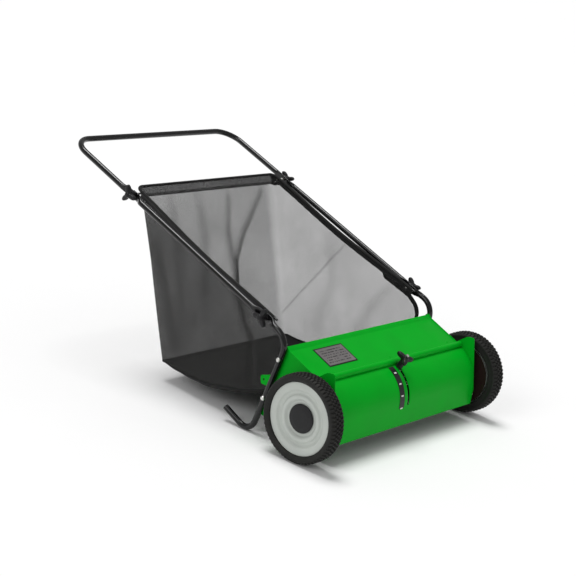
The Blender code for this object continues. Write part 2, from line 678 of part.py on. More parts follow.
def build_lower_tubes():
    for side, sign in sides():
        path, shapes = with_lap(lower_tube_path(sign * TUBE_X), True, -sign * INNER_LAP)
        points, faces = swept(path, (1.0, 0.0, 0.0), shapes)
        tube = add_solid("lower_tube_" + side, points, faces, "black_paint", smooth=True)
        spots = [(leg_y(z), z) for z in LEG_BOLTS_Z] + [LOWER_CLAMP]
        for number, (y, z) in enumerate(spots):
            cut(tube, bolt_hole("lower_hole_%d_%s" % (number, side), y, z,
                                sign * 0.315, sign * 0.362, 0.0034))


def build_middle_tubes():
    for side, sign in sides():
        x = sign * TUBE_X
        start = Vector((x, LOWER_CLAMP[0] - 0.012 * HANDLE_DIR[0],
                        LOWER_CLAMP[1] - 0.012 * HANDLE_DIR[1]))
        end = Vector((x, UPPER_CLAMP[0] + 0.012 * HANDLE_DIR[0],
                      UPPER_CLAMP[1] + 0.012 * HANDLE_DIR[1]))
        path, shapes = with_lap([start, end], True, -sign * OUTER_LAP)
        tail, tail_shapes = with_lap([start, end], False, -sign * INNER_LAP)
        path, shapes = path[:3] + tail[-3:], shapes[:3] + tail_shapes[-3:]
        points, faces = swept(path, (1.0, 0.0, 0.0), shapes)
        tube = add_solid("middle_tube_" + side, points, faces, "black_paint",
                         (x, *LOWER_CLAMP), smooth=True)
        for number, (y, z) in enumerate((LOWER_CLAMP, UPPER_CLAMP)):
            cut(tube, bolt_hole("middle_hole_%d_%s" % (number, side), y, z,
                                sign * 0.315, sign * 0.362, 0.0034))


def build_upper_handle():
    """One tube: a pressed end, a leg, the crossbar, the other leg and its pressed end."""
    back = -0.012
    corners = []
    for sign in (1.0, -1.0):
        foot = Vector((sign * TUBE_X, UPPER_CLAMP[0] + back * HANDLE_DIR[0],
                       UPPER_CLAMP[1] + back * HANDLE_DIR[1]))
        corners.append((foot, Vector((sign * TUBE_X, *CROSSBAR))))
    whole = round_corners([corners[0][0], corners[0][1], corners[1][1], corners[1][0]],
                          [HANDLE_BEND, HANDLE_BEND], 13.0)
    up = Vector((0.0, *HANDLE_UP))
    # In this sweep the section's first number points sideways in the handle's plane.
    wide = [(b, a) for a, b in lap_section(-OUTER_LAP)][::-1]
    round_shape = [(b, a) for a, b in round_section(TUBE_RADIUS)][::-1]
    way = (whole[1] - whole[0]).normalized()
    path = [whole[0], whole[0] + way * 0.030, whole[0] + way * 0.050] + whole[1:-1]
    path += [whole[-1] + way * 0.050, whole[-1] + way * 0.030, whole[-1]]
    shapes = [wide, wide] + [round_shape] * (len(path) - 4) + [wide, wide]
    points, faces = swept(path, up, shapes)
    tube = add_solid("upper_handle", points, faces, "black_paint",
                     (0.0, *UPPER_CLAMP), smooth=True)
    for side, sign in sides():
        cut(tube, bolt_hole("upper_hole_" + side, *UPPER_CLAMP, sign * 0.315, sign * 0.362, 0.0034))


def rod_x(share):
    """Half width of the bag's frame from its front (0) to its rear bar (1)."""
    return 0.3180 - 0.0160 * share


def build_clamps():
    spots = (("lower", LOWER_CLAMP, rod_x(0.04)), ("upper", UPPER_CLAMP, rod_x(0.96)))
    for place, (y, z), at in spots:
        for side, sign in sides():
            outer = TUBE_X - OUTER_LAP + LAP / 2
            inner = TUBE_X - INNER_LAP - LAP / 2 - GAP
            tip = at - 0.0036
            profile = [(tip, 0.0), (tip, 0.0030), (inner - 0.0040, 0.0030),
                       (inner - 0.0040, 0.0052), (inner, 0.0052), (inner, 0.0030),
                       (outer + 0.0165, 0.0030), (outer + 0.0165, 0.0)]
            points, faces = turned(profile, (y, z), 12, sign)
            add_solid("clamp_bolt_%s_%s" % (place, side), points, faces, "zinc", (0.0, y, z))
            base = Vector((sign * (outer + 0.0006), y, z))
            along = Vector((sign, 0.0, 0.0))
            turn = math.radians(75 if place == "upper" else 40)
            points, faces = knob_solid(base, along, Vector((0.0, 1.0, 0.0)), CLAMP_KNOB_NECK,
                                       turn)
            add_solid("clamp_knob_%s_%s" % (place, side), points, faces, "black_plastic",
                      tuple(base), smooth=True)


# ---------------------------------------------------------------- bag
def on_handle(run, rise):
    """Point of the level (y, z) plane, given from the lower clamp along and above the tubes."""
    return (LOWER_CLAMP[0] + run * HANDLE_DIR[0] + rise * HANDLE_UP[0],
            LOWER_CLAMP[1] + run * HANDLE_DIR[1] + rise * HANDLE_UP[1])


ROD_FRONT, ROD_REAR = -0.014, CLAMP_SPACING + 0.022
REAR_BAR = on_handle(ROD_REAR, ROD_RISE)
HEM_CORNER = 0.026           # how the hem rounds the bag's rear corners, seen from above


def build_bag_frame():
    corners = []
    for sign in (1.0, -1.0):
        front = on_handle(ROD_FRONT, ROD_RISE)
        corners.append((Vector((sign * rod_x(0.0), *front)),
                        Vector((sign * rod_x(1.0), *REAR_BAR))))
    path = round_corners([corners[0][0], corners[0][1], corners[1][1], corners[1][0]],
                         [0.022, 0.022], 15.0)
    shapes = [circle((0.0, 0.0), ROD_RADIUS, 10)] * len(path)
    points, faces = swept(path, (0.0, *HANDLE_UP), shapes)
    add_solid("bag_frame", points, faces, "black_paint", smooth=True)


def smooth_line(knots, count):
    """Evenly spaced points on a Catmull-Rom line through knots."""
    knots = np.array(knots, float)
    ends = np.vstack([2 * knots[0] - knots[1], knots, 2 * knots[-1] - knots[-2]])
    fine = []
    for i in range(len(knots) - 1):
        a, b, c, d = ends[i:i + 4]
        for t in np.linspace(0.0, 1.0, 24, endpoint=False):
            fine.append(0.5 * (2 * b + (c - a) * t + (2 * a - 5 * b + 4 * c - d) * t ** 2
                               + (3 * b - a - 3 * c + d) * t ** 3))
    fine.append(knots[-1])
    fine = np.array(fine)
    far = np.concatenate([[0.0], np.cumsum(np.linalg.norm(np.diff(fine, axis=0), axis=1))])
    want = np.linspace(0.0, far[-1], count)
    return np.column_stack([np.interp(want, far, fine[:, k]) for k in range(fine.shape[1])])


def around_bag(side_line, corner, side_count, rear_count):
    """Mirror a side line (x, y, z) to go from one front end round the back to the other."""
    one = smooth_line(side_line, side_count)
    rear = one[-1]
    bend = []
    for k in range(1, 4):
        a = math.radians(90 * k / 4)
        bend.append((rear[0] - corner * (1 - math.cos(a)), rear[1] + corner * math.sin(a), rear[2]))
    flat = (rear[0] - corner, rear[1] + corner, rear[2])
    half = [tuple(p) for p in one] + bend
    line = half + [(flat[0] * (1 - 2 * i / rear_count), flat[1], flat[2])
                   for i in range(rear_count + 1)]
    return line + [(-p[0], p[1], p[2]) for p in half[::-1]]


def bag_lines():
    inside = 0.0050
    top = [(0.312, 0.124, 0.166), (0.312, 0.130, 0.192), (0.312, 0.146, 0.213)]
    for share in (0.0, 0.25, 0.5, 0.75, 1.0):
        run = 0.004 + (CLAMP_SPACING - 0.040) * share
        top.append((rod_x(share) - inside, *on_handle(run, 0.0032)))
    hem = [(p[0], p[1] + 0.001, p[2] - 0.014) for p in top[3:]]
    hem = [(0.312, 0.131, 0.156), (0.312, 0.138, 0.180), (0.312, 0.152, 0.201)] + hem
    top.append((rod_x(1.0) - inside, REAR_BAR[0] - HEM_CORNER, REAR_BAR[1] - 0.0042))
    hem[-1] = (0.2940, 0.592, 0.4850)
    hem.append((0.2880, 0.652 - HEM_CORNER, 0.5220))
    seam = [(0.312, 0.178, 0.040), (0.311, 0.211, 0.032), (0.308, 0.302, 0.022),
            (0.300, 0.397, 0.020), (0.290, 0.484, 0.027), (0.281, 0.553, 0.040),
            (0.276, 0.588, 0.052)]
    return top, hem, seam


def cloth_solid(name, upper, lower, rows, finish):
    """Cloth between two lines round the bag, CLOTH thick, growing outwards."""
    upper, lower = np.array(upper), np.array(lower)
    grid, offsets = [], []
    for i in range(rows + 1):
        share = i / rows
        line = upper * (1 - share) + lower * share
        ahead = np.gradient(line, axis=0)
        away = np.column_stack([ahead[:, 1], -ahead[:, 0], np.zeros(len(line))])
        away /= np.linalg.norm(away, axis=1)[:, None]
        grid.append([tuple(p) for p in line])
        offsets.append([tuple(-p * CLOTH) for p in away])
    points, faces = thick_sheet(grid, offsets)
    add_solid(name, points, faces, finish, smooth=True)


def build_bag():
    top, hem, seam = bag_lines()
    counts = (13, 8)
    top, hem = around_bag(top, HEM_CORNER, *counts), around_bag(hem, HEM_CORNER, *counts)
    seam = around_bag(seam, 0.022, *counts)
    cloth_solid("bag_hem", top, hem, 2, "black_cloth")
    below = [(p[0], p[1], p[2] - GAP) for p in hem]
    above = [(p[0], p[1], p[2] + GAP) for p in seam]
    cloth_solid("bag_mesh", below, above, 4, "mesh_cloth")
    build_bag_floor(seam, counts[0] + 3)


def build_bag_floor(seam, half):
    """Curved tray: from seam to seam it hangs below the straight line by a shallow arc."""
    grid = []
    across = 10
    for i in range(half + 1):
        edge = seam[i]
        sag = 0.006 + 0.026 * math.sin(math.pi * min(1.0, i / half)) ** 0.8
        half_width = edge[0] + CLOTH
        line = []
        for k in range(across + 1):
            t = math.sin(math.pi / 2 * (1 - 2 * k / across))
            line.append((half_width * t, edge[1], edge[2] - sag * (1 - t ** 4)))
        grid.append(line)
    brim = [(p[0], p[1] + 0.008, p[2] - 0.003) for p in grid[-1]]
    grid.append(brim)
    offsets = [[(0.0, 0.0, -0.0016)] * (across + 1) for _ in grid]
    points, faces = thick_sheet(grid, offsets)
    add_solid("bag_floor", points, faces, "black_cloth", smooth=True)


# ---------------------------------------------------------------- the whole machine
clear_scene()
PARKED = add_empty("parked_frame", (0.0, AXLE_Y, WHEEL_RADIUS))
PARKED.rotation_euler = (-PARKED_TILT, 0.0, 0.0)

build_cover()
build_front_panel()
build_height_scale()
build_data_plate()
build_side_plates()
build_rear_tie_bar()
build_leg_bolts()
build_height_knob(build_swing_frame())
build_wheels()
build_dust_covers()
build_pinions()
build_brush()
build_lower_tubes()
build_middle_tubes()
build_upper_handle()
build_clamps()
build_bag_frame()
build_bag()
bpy.context.view_layer.update()
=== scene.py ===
"""Looks of a push lawn sweeper: green steel brush housing, geared wheels, tube handle, mesh bag.

Shapes are worked out in the level frame, the one the machine has while it is pushed: its origin
is the middle of the wheel axle, +Y runs back and +Z up.  parked() then leans every point back
about the axle, as the machine stands on its wheels and the feet of its tubes.  Metres.
"""
import json
import math

import bmesh
import bpy
import numpy as np
from mathutils import Matrix, Vector


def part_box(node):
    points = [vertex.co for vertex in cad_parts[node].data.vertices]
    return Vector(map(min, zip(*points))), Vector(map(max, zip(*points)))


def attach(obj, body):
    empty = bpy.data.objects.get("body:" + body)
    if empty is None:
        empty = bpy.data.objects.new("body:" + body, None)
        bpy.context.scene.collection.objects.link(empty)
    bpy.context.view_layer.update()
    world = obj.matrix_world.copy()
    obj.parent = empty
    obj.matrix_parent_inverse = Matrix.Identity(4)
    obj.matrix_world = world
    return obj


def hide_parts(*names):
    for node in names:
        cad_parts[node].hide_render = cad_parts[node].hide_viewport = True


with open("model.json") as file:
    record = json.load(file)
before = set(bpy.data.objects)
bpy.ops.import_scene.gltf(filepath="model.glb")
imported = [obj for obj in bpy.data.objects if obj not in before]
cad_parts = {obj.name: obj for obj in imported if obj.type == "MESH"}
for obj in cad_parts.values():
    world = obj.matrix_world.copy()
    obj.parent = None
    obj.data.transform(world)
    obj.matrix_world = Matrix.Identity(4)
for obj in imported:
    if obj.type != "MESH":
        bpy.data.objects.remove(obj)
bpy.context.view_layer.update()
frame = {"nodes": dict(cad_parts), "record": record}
NODES = frame["nodes"]
RANDOM = np.random.default_rng(26)

# ---------------------------------------------------------------- driving dimensions
TILT = math.radians(11.0)
X_AXIS, Y_AXIS = np.array([1.0, 0.0, 0.0]), np.array([0.0, 1.0, 0.0])

# Housing: the front panel is bent round the brush's axis.
BRUSH_Y = 0.036
PANEL_RADIUS = 0.100
SHEET = 0.0014
COVER_FRONT = np.array([0.0, -0.0015, 0.0962])
SLOT_ANGLES = (127.0, 193.5)
SLOT_HALF = 0.0042
MARK_ANGLES = (138.0, 157.0, 176.0, 196.0)
KNOB_ANGLE = math.radians(129.5)

# Handle: round tubes, pressed flat where they lap at a clamp.
TUBE_RADIUS = 0.0085
TUBE_X = 0.339
LAP = 0.0044
LAP_HALF = 0.0112
LAP_END = 0.012
LAP_SWELL = (0.031, 0.056)
OUTER_LAP = 0.0045
INNER_LAP = OUTER_LAP + LAP + 0.0003
HANDLE_SLOPE = math.radians(30.85)
HANDLE_DIR = np.array([0.0, math.cos(HANDLE_SLOPE), math.sin(HANDLE_SLOPE)])
HANDLE_UP = np.array([0.0, -math.sin(HANDLE_SLOPE), math.cos(HANDLE_SLOPE)])
LOWER_CLAMP = np.array([0.0, 0.172, 0.240])
CLAMP_SPACING = 0.5685
UPPER_CLAMP = LOWER_CLAMP + CLAMP_SPACING * HANDLE_DIR
CROSSBAR = UPPER_CLAMP + 0.2785 * HANDLE_DIR
LEG_TOP = np.array([0.0, 0.1135, 0.132])
LEG_LEAN = 0.483
HEEL_Z = -0.0858
TOE_SLOPE = math.radians(35.0)
TOE_REACH = 0.106

# Wheels and brush.
TYRE_RADIUS = 0.120
TYRE_MIDDLE = 0.3825
TREAD_BLOCKS = 66
TREAD_DEPTH = 0.0034
TREAD_GROOVES = (0.0042, 0.0126)
RING_TEETH = 54
RING_PITCH_RADIUS = 0.054
BRUSH_HALF = 0.3178
BRISTLE_TIP = 0.0915
BRISTLES_IN_ROW = 250

# Bag: the frame rod lies ROD_RISE above the handle's line and draws in towards the back.
ROD_RADIUS = 0.0035
ROD_RISE = 0.0072
ROD_FRONT = -0.030
ROD_BOW = 0.010
ROD_REAR = CLAMP_SPACING + 0.022
ROD_FRONT_X, ROD_TAPER = 0.3180, 0.0160
HEM_CORNER = 0.012
SEAM_CORNER = 0.014
BAG_FRONT_X = 0.312
COUNTS = (120, 120)
# Painted shade: how much denser, and so darker, the near and rear bag walls are made than the far wall.
PAINTED_WALL_SHADE = 0.30
MESH_THICKNESS, TRAY_THICKNESS = 0.0007, 0.0014
PIPING_RADIUS = 0.0013

low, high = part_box("tyre_left")
AXLE = np.array([0.0, (low[1] + high[1]) / 2, (low[2] + high[2]) / 2])
COVER_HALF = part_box("top_cover")[1][0]
SIDES = (("left", 1.0), ("right", -1.0))


def parked(points):
    """Level points turned back by TILT about the axle: y' = y cos + z sin, z' = z cos - y sin."""
    points = np.asarray(points, float)
    y, z = points[..., 1], points[..., 2]
    return np.stack([points[..., 0],
                     AXLE[1] + y * math.cos(TILT) + z * math.sin(TILT),
                     AXLE[2] - y * math.sin(TILT) + z * math.cos(TILT)], axis=-1)


def on_handle(run, rise):
    """Place run metres up the handle's slope from the lower clamp, and rise above it."""
    return LOWER_CLAMP + run * HANDLE_DIR + rise * HANDLE_UP


def on_leg(z):
    """Where the leg of a lower tube is at height z, as y."""
    return LEG_TOP[1] + (LEG_TOP[2] - z) * LEG_LEAN


def rod_x(share):
    """Half the width of the frame rod, share of the way from its front ends to its back."""
    return ROD_FRONT_X - ROD_TAPER * share


# ---------------------------------------------------------------- shape helpers
def softened(corners, radius, steps=5, closed=False):
    """A polyline whose corners are cut back by radius and bridged by parabolas:
    b(t) = (1-t)^2 a + 2t(1-t) corner + t^2 c, where a and c lie radius before and after it."""
    corners = np.asarray(corners, float)
    before, after = np.roll(corners, 1, axis=0) - corners, np.roll(corners, -1, axis=0) - corners
    reach_b = np.linalg.norm(before, axis=1, keepdims=True)
    reach_a = np.linalg.norm(after, axis=1, keepdims=True)
    radius = np.broadcast_to(np.asarray(radius, float).reshape(-1, 1), reach_b.shape)
    a = corners + before / reach_b * np.minimum(radius, 0.45 * reach_b)
    c = corners + after / reach_a * np.minimum(radius, 0.45 * reach_a)
    t = np.linspace(0.0, 1.0, steps)[None, :, None]
    bends = (1 - t) ** 2 * a[:, None] + 2 * t * (1 - t) * corners[:, None] + t ** 2 * c[:, None]
    if closed:
        return bends.reshape(-1, corners.shape[1])
    inner = bends[1:-1].reshape(-1, corners.shape[1])
    return np.vstack([corners[:1], inner, corners[-1:]])


def arc_path(corners, radii, steps=14):
    """A path through corners, each inner one replaced by a true arc: with the turn w,
    p(s) = centre + start sin((1-s) w)/sin w + end sin(s w)/sin w."""
    corners = np.asarray(corners, float)
    pieces = [corners[:1]]
    for corner, one, two, radius in zip(corners[1:-1], corners[:-2], corners[2:], radii):
        back = (one - corner) / np.linalg.norm(one - corner)
        ahead = (two - corner) / np.linalg.norm(two - corner)
        opening = math.acos(float(back @ ahead))
        middle = (back + ahead) / np.linalg.norm(back + ahead)
        centre = corner + middle * radius / math.sin(opening / 2)
        trim = radius / math.tan(opening / 2)
        start, end = corner + back * trim - centre, corner + ahead * trim - centre
        turn = math.pi - opening
        s = np.linspace(0.0, 1.0, steps)[:, None]
        pieces.append(centre + (start * np.sin((1 - s) * turn) + end * np.sin(s * turn))
                      / math.sin(turn))
    pieces.append(corners[-1:])
    return np.vstack(pieces)


def evenly(path, spacing):
    """The path read again at equal steps of its own length, about spacing apart."""
    run = arc_length(path)
    want = np.linspace(0.0, run[-1], max(2, int(round(run[-1] / spacing)) + 1))
    return np.stack([np.interp(want, run, path[:, k]) for k in range(path.shape[1])], axis=1)


def arc_length(path):
    """Length of the path up to each of its points."""
    steps = np.linalg.norm(np.diff(path, axis=0), axis=1)
    return np.concatenate([[0.0], np.cumsum(steps)])


def smooth_line(knots, count):
    """Evenly spaced points on the Catmull-Rom line through knots."""
    knots = np.asarray(knots, float)
    ends = np.vstack([2 * knots[0] - knots[1], knots, 2 * knots[-1] - knots[-2]])
    a, b, c, d = ends[:-3, None], ends[1:-2, None], ends[2:-1, None], ends[3:, None]
    t = np.linspace(0.0, 1.0, 24, endpoint=False)[None, :, None]
    fine = 0.5 * (2 * b + (c - a) * t + (2 * a - 5 * b + 4 * c - d) * t ** 2
                  + (3 * b - a - 3 * c + d) * t ** 3)
    fine = np.vstack([fine.reshape(-1, knots.shape[1]), knots[-1:]])
    run = arc_length(fine)
    want = np.linspace(0.0, run[-1], count)
    return np.stack([np.interp(want, run, fine[:, k]) for k in range(3)], axis=1)


def smooth_step(value, low, high):
    """3 t^2 - 2 t^3, where t runs from 0 at low to 1 at high."""
    t = np.clip((value - low) / (high - low), 0.0, 1.0)
    return t * t * (3 - 2 * t)


def grid_faces(rows, columns, close_rows=False, close_columns=False):
    """Quads between neighbours of a grid of rows x columns points."""
    i = np.arange(rows if close_rows else rows - 1)[:, None]
    j = np.arange(columns if close_columns else columns - 1)[None, :]
    i2, j2 = (i + 1) % rows, (j + 1) % columns
    quads = np.stack([i * columns + j, i * columns + j2, i2 * columns + j2, i2 * columns + j], -1)
    return quads.reshape(-1, 4)


def metre_map(grid):
    """Map coordinates in metres: length along the columns and length along the rows."""
    across = np.linalg.norm(np.diff(grid, axis=1), axis=2).mean(axis=0)
    along = np.linalg.norm(np.diff(grid, axis=0), axis=2).mean(axis=1)
    u = np.concatenate([[0.0], np.cumsum(across)])
    v = np.concatenate([[0.0], np.cumsum(along)])
    return np.stack(np.broadcast_arrays(u[None, :], v[:, None]), axis=-1)


def add_piece(name, points, faces, finish, uv=None, solid=True, bend=35.0, extra=None):
    """Link a mesh; a solid one has its doubles merged and its faces turned outwards."""
    mesh = bpy.data.meshes.new(name)
    points = np.asarray(points, float).reshape(-1, 3)
    mesh.from_pydata(points.tolist(), [], [list(map(int, f)) for f in faces])
    if uv is not None:
        layer = mesh.uv_layers.new(name="metres")
        corner = np.empty(len(mesh.loops), int)
        mesh.loops.foreach_get("vertex_index", corner)
        layer.data.foreach_set("uv", np.asarray(uv, float).reshape(-1, 2)[corner].ravel())
    for label, values in (extra or {}).items():
        mesh.attributes.new(label, "FLOAT", "POINT").data.foreach_set("value", values.ravel())
    if solid:
        work = bmesh.new()
        work.from_mesh(mesh)
        bmesh.ops.remove_doubles(work, verts=work.verts, dist=1e-6)
        bmesh.ops.dissolve_degenerate(work, edges=work.edges, dist=1e-7)
        bmesh.ops.recalc_face_normals(work, faces=work.faces)
        work.to_mesh(mesh)
        work.free()
    mesh.shade_smooth()
    mesh.set_sharp_from_angle(angle=math.radians(bend))
    mesh.materials.append(finish)
    piece = bpy.data.objects.new(name, mesh)
    bpy.context.scene.collection.objects.link(piece)
    return piece


def turned(profile, centre, segments, side=1.0, ring=False, ripple=None):
    """Grid of an (x, r) profile turned about the X line through centre (y, z):
    (side x, y + r cos a, z + r sin a); ripple(x, r, a) is added to r."""
    profile = np.asarray(profile, float)
    a = np.linspace(0.0, 2 * math.pi, segments, endpoint=False)[None, :]
    x, r = profile[:, :1], profile[:, 1:]
    r = r + (ripple(x, r, a) if ripple else 0.0 * a)
    grid = np.stack(np.broadcast_arrays(side * x, centre[0] + r * np.cos(a),
                                        centre[1] + r * np.sin(a)), axis=-1)
    return grid, grid_faces(len(profile), segments, ring, True)


def with_caps(grid, faces):
    """Close both ends of a tube grid with one face each."""
    rows, columns = grid.shape[:2]
    ends = [list(range(columns)), list(range((rows - 1) * columns, rows * columns))[::-1]]
    return [list(f) for f in faces] + ends


def tube_faces(grid):
    """Faces of a grid whose columns close into a tube, with both ends capped."""
    return with_caps(grid, grid_faces(*grid.shape[:2], False, True))


def unit_tangents(path):
    """Direction of the path at each of its points."""
    tangent = np.gradient(path, axis=0)
    return tangent / np.linalg.norm(tangent, axis=1, keepdims=True)


def swept(path, normal, sections):
    """Sections (a, b) carried along a planar path: p + a (t x n) + b n."""
    normal = np.asarray(normal, float)
    side = np.cross(unit_tangents(path), normal)
    side /= np.linalg.norm(side, axis=1, keepdims=True)
    return path[:, None] + sections[..., :1] * side[:, None] + sections[..., 1:] * normal


def circle(count):
    """Points (cos a, sin a) at equal angles."""
    a = np.linspace(0.0, 2 * math.pi, count, endpoint=False)
    return np.stack([np.cos(a), np.sin(a)], axis=-1)


def prism(outline, x0, x1):
    """Closed (y, z) outline carried straight from x0 to x1 and capped."""
    outline = np.asarray(outline, float)
    x = np.array([x0, x1])[:, None]
    grid = np.stack(np.broadcast_arrays(x, outline[None, :, 0], outline[None, :, 1]), axis=-1)
    return grid, with_caps(grid, grid_faces(2, len(outline), False, True))


def finish_piece(piece, body, slot, *stands_for):
    """Tie a piece to its body, and hide the plain solids it stands for; slot is not used."""
    if stands_for:
        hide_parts(*stands_for)
    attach(piece, body)
    return piece


# ---------------------------------------------------------------- material helpers
def add_node(tree, kind, inputs=None, **settings):
    """A node with its settings, and each input linked or set to a constant."""
    made = tree.nodes.new(kind)
    for key, value in settings.items():
        setattr(made, key, value)
    for key, value in (inputs or {}).items():
        if isinstance(value, bpy.types.NodeSocket):
            tree.links.new(value, made.inputs[key])
        else:
            made.inputs[key].default_value = value
    return made


def math_node(tree, operation, one, two=0.0, three=0.0):
    """Output of a Math node."""
    made = add_node(tree, "ShaderNodeMath", {0: one, 1: two, 2: three}, operation=operation)
    return made.outputs[0]


def mixed(tree, share, one, two):
    """Colour that goes from one to two with share."""
    made = add_node(tree, "ShaderNodeMix", data_type="RGBA")
    for key, value in (("Factor", share), ("A", one), ("B", two)):
        socket = [s for s in made.inputs if s.name == key and s.type != "VECTOR"]
        socket = socket[0] if key == "Factor" else [s for s in socket if s.type == "RGBA"][0]
        if isinstance(value, bpy.types.NodeSocket):
            tree.links.new(value, socket)
        else:
            socket.default_value = value
    return [s for s in made.outputs if s.type == "RGBA"][0]


def ranged(tree, value, low, high, to_low, to_high):
    """Value carried from low..high to to_low..to_high, and clamped there."""
    made = add_node(tree, "ShaderNodeMapRange",
                    {0: value, 1: low, 2: high, 3: to_low, 4: to_high})
    return made.outputs[0]


def new_group(name, inputs, outputs):
    """An empty shader group with named sockets, and its two end nodes."""
    group = bpy.data.node_groups.new(name, "ShaderNodeTree")
    for label, kind, value in inputs:
        socket = group.interface.new_socket(name=label, in_out="INPUT", socket_type=kind)
        if value is not None:
            socket.default_value = value
    for label, kind in outputs:
        group.interface.new_socket(name=label, in_out="OUTPUT", socket_type=kind)
    return group, group.nodes.new("NodeGroupInput"), group.nodes.new("NodeGroupOutput")


def grain_group():
    """Two noises of one pattern: a slow one for patches and a fine one for the skin."""
    group, given, result = new_group(
        "surface_grain",
        [("Vector", "NodeSocketVector", None), ("Fine", "NodeSocketFloat", 900.0),
         ("Slow", "NodeSocketFloat", 14.0)],
        [("Skin", "NodeSocketFloat"), ("Patches", "NodeSocketFloat")])
    fine = add_node(group, "ShaderNodeTexNoise", {"Vector": given.outputs["Vector"],
                                                  "Scale": given.outputs["Fine"], "Detail": 3.0})
    slow = add_node(group, "ShaderNodeTexNoise", {"Vector": given.outputs["Vector"],
                                                  "Scale": given.outputs["Slow"], "Detail": 4.0})
    group.links.new(fine.outputs[0], result.inputs["Skin"])
    group.links.new(slow.outputs[0], result.inputs["Patches"])
    return group


def scuff_group():
    """Thin stray scratches: a noise stretched along one way and cut at a high level."""
    group, given, result = new_group(
        "scuffs",
        [("Vector", "NodeSocketVector", None), ("Amount", "NodeSocketFloat", 0.3)],
        [("Mask", "NodeSocketFloat")])
    turned_by = add_node(group, "ShaderNodeMapping", {"Vector": given.outputs["Vector"],
                                                      "Rotation": (0.5, 0.3, 0.9),
                                                      "Scale": (22.0, 420.0, 260.0)})
    streak = add_node(group, "ShaderNodeTexNoise", {"Vector": turned_by.outputs[0],
                                                    "Scale": 1.0, "Detail": 2.0})
    where = add_node(group, "ShaderNodeTexNoise", {"Vector": given.outputs["Vector"],
                                                   "Scale": 9.0, "Detail": 3.0})
    lines = ranged(group, streak.outputs[0], 0.66, 0.74, 0.0, 1.0)
    spots = ranged(group, where.outputs[0], 0.50, 0.66, 0.0, 1.0)
    both = math_node(group, "MULTIPLY", lines, spots)
    group.links.new(math_node(group, "MULTIPLY", both, given.outputs["Amount"]),
                    result.inputs["Mask"])
    return group


def dust_group():
    """Dust that settles on faces that look up, in soft patches."""
    group, given, result = new_group(
        "settled_dust",
        [("Vector", "NodeSocketVector", None), ("Amount", "NodeSocketFloat", 0.2)],
        [("Mask", "NodeSocketFloat")])
    facing = add_node(group, "ShaderNodeSeparateXYZ",
                      {0: group.nodes.new("ShaderNodeNewGeometry").outputs["Normal"]})
    upward = ranged(group, facing.outputs[2], 0.1, 1.0, 0.15, 1.0)
    cloud = add_node(group, "ShaderNodeTexNoise", {"Vector": given.outputs["Vector"],
                                                   "Scale": 26.0, "Detail": 5.0})
    patches = ranged(group, cloud.outputs[0], 0.42, 0.72, 0.0, 1.0)
    both = math_node(group, "MULTIPLY", upward, patches)
    group.links.new(math_node(group, "MULTIPLY", both, given.outputs["Amount"]),
                    result.inputs["Mask"])
    return group


def weave_group():
    """Plain weave on a map in metres: threads go over and under, holes sit between them.
    Height = |sin| of warp times weft over, and Hole is 1 where both threads are absent."""
    group, given, result = new_group(
        "weave",
        [("Vector", "NodeSocketVector", None), ("Pitch", "NodeSocketFloat", 0.0016)],
        [("Height", "NodeSocketFloat"), ("Hole", "NodeSocketFloat"), ("Slub", "NodeSocketFloat")])
    parts = add_node(group, "ShaderNodeSeparateXYZ", {0: given.outputs["Vector"]})
    turn = math_node(group, "DIVIDE", math.pi, given.outputs["Pitch"])
    warp = math_node(group, "SINE", math_node(group, "MULTIPLY", parts.outputs[0], turn))
    weft = math_node(group, "SINE", math_node(group, "MULTIPLY", parts.outputs[1], turn))
    warp_up = math_node(group, "ABSOLUTE", warp)
    weft_up = math_node(group, "ABSOLUTE", weft)
    over = math_node(group, "MULTIPLY", warp, weft)
    height = math_node(group, "ADD", math_node(group, "MAXIMUM", warp_up, weft_up),
                       math_node(group, "MULTIPLY", over, 0.35))
    bare = math_node(group, "SUBTRACT", 1.0, math_node(group, "MAXIMUM", warp_up, weft_up))
    stretched = add_node(group, "ShaderNodeMapping", {"Vector": given.outputs["Vector"],
                                                      "Scale": (60.0, 900.0, 1.0)})
    slub = add_node(group, "ShaderNodeTexNoise", {"Vector": stretched.outputs[0], "Scale": 1.0,
                                                  "Detail": 3.0})
    group.links.new(height, result.inputs["Height"])
    group.links.new(ranged(group, bare, 0.05, 0.35, 0.0, 1.0), result.inputs["Hole"])
    group.links.new(slub.outputs[0], result.inputs["Slub"])
    return group


GRAIN, SCUFFS, DUST, WEAVE = grain_group(), scuff_group(), dust_group(), weave_group()
DUST_COLOUR = (0.32, 0.30, 0.26, 1.0)


def use_group(tree, group, inputs):
    """Place a node group with its own inputs."""
    return add_node(tree, "ShaderNodeGroup", inputs, node_tree=group)


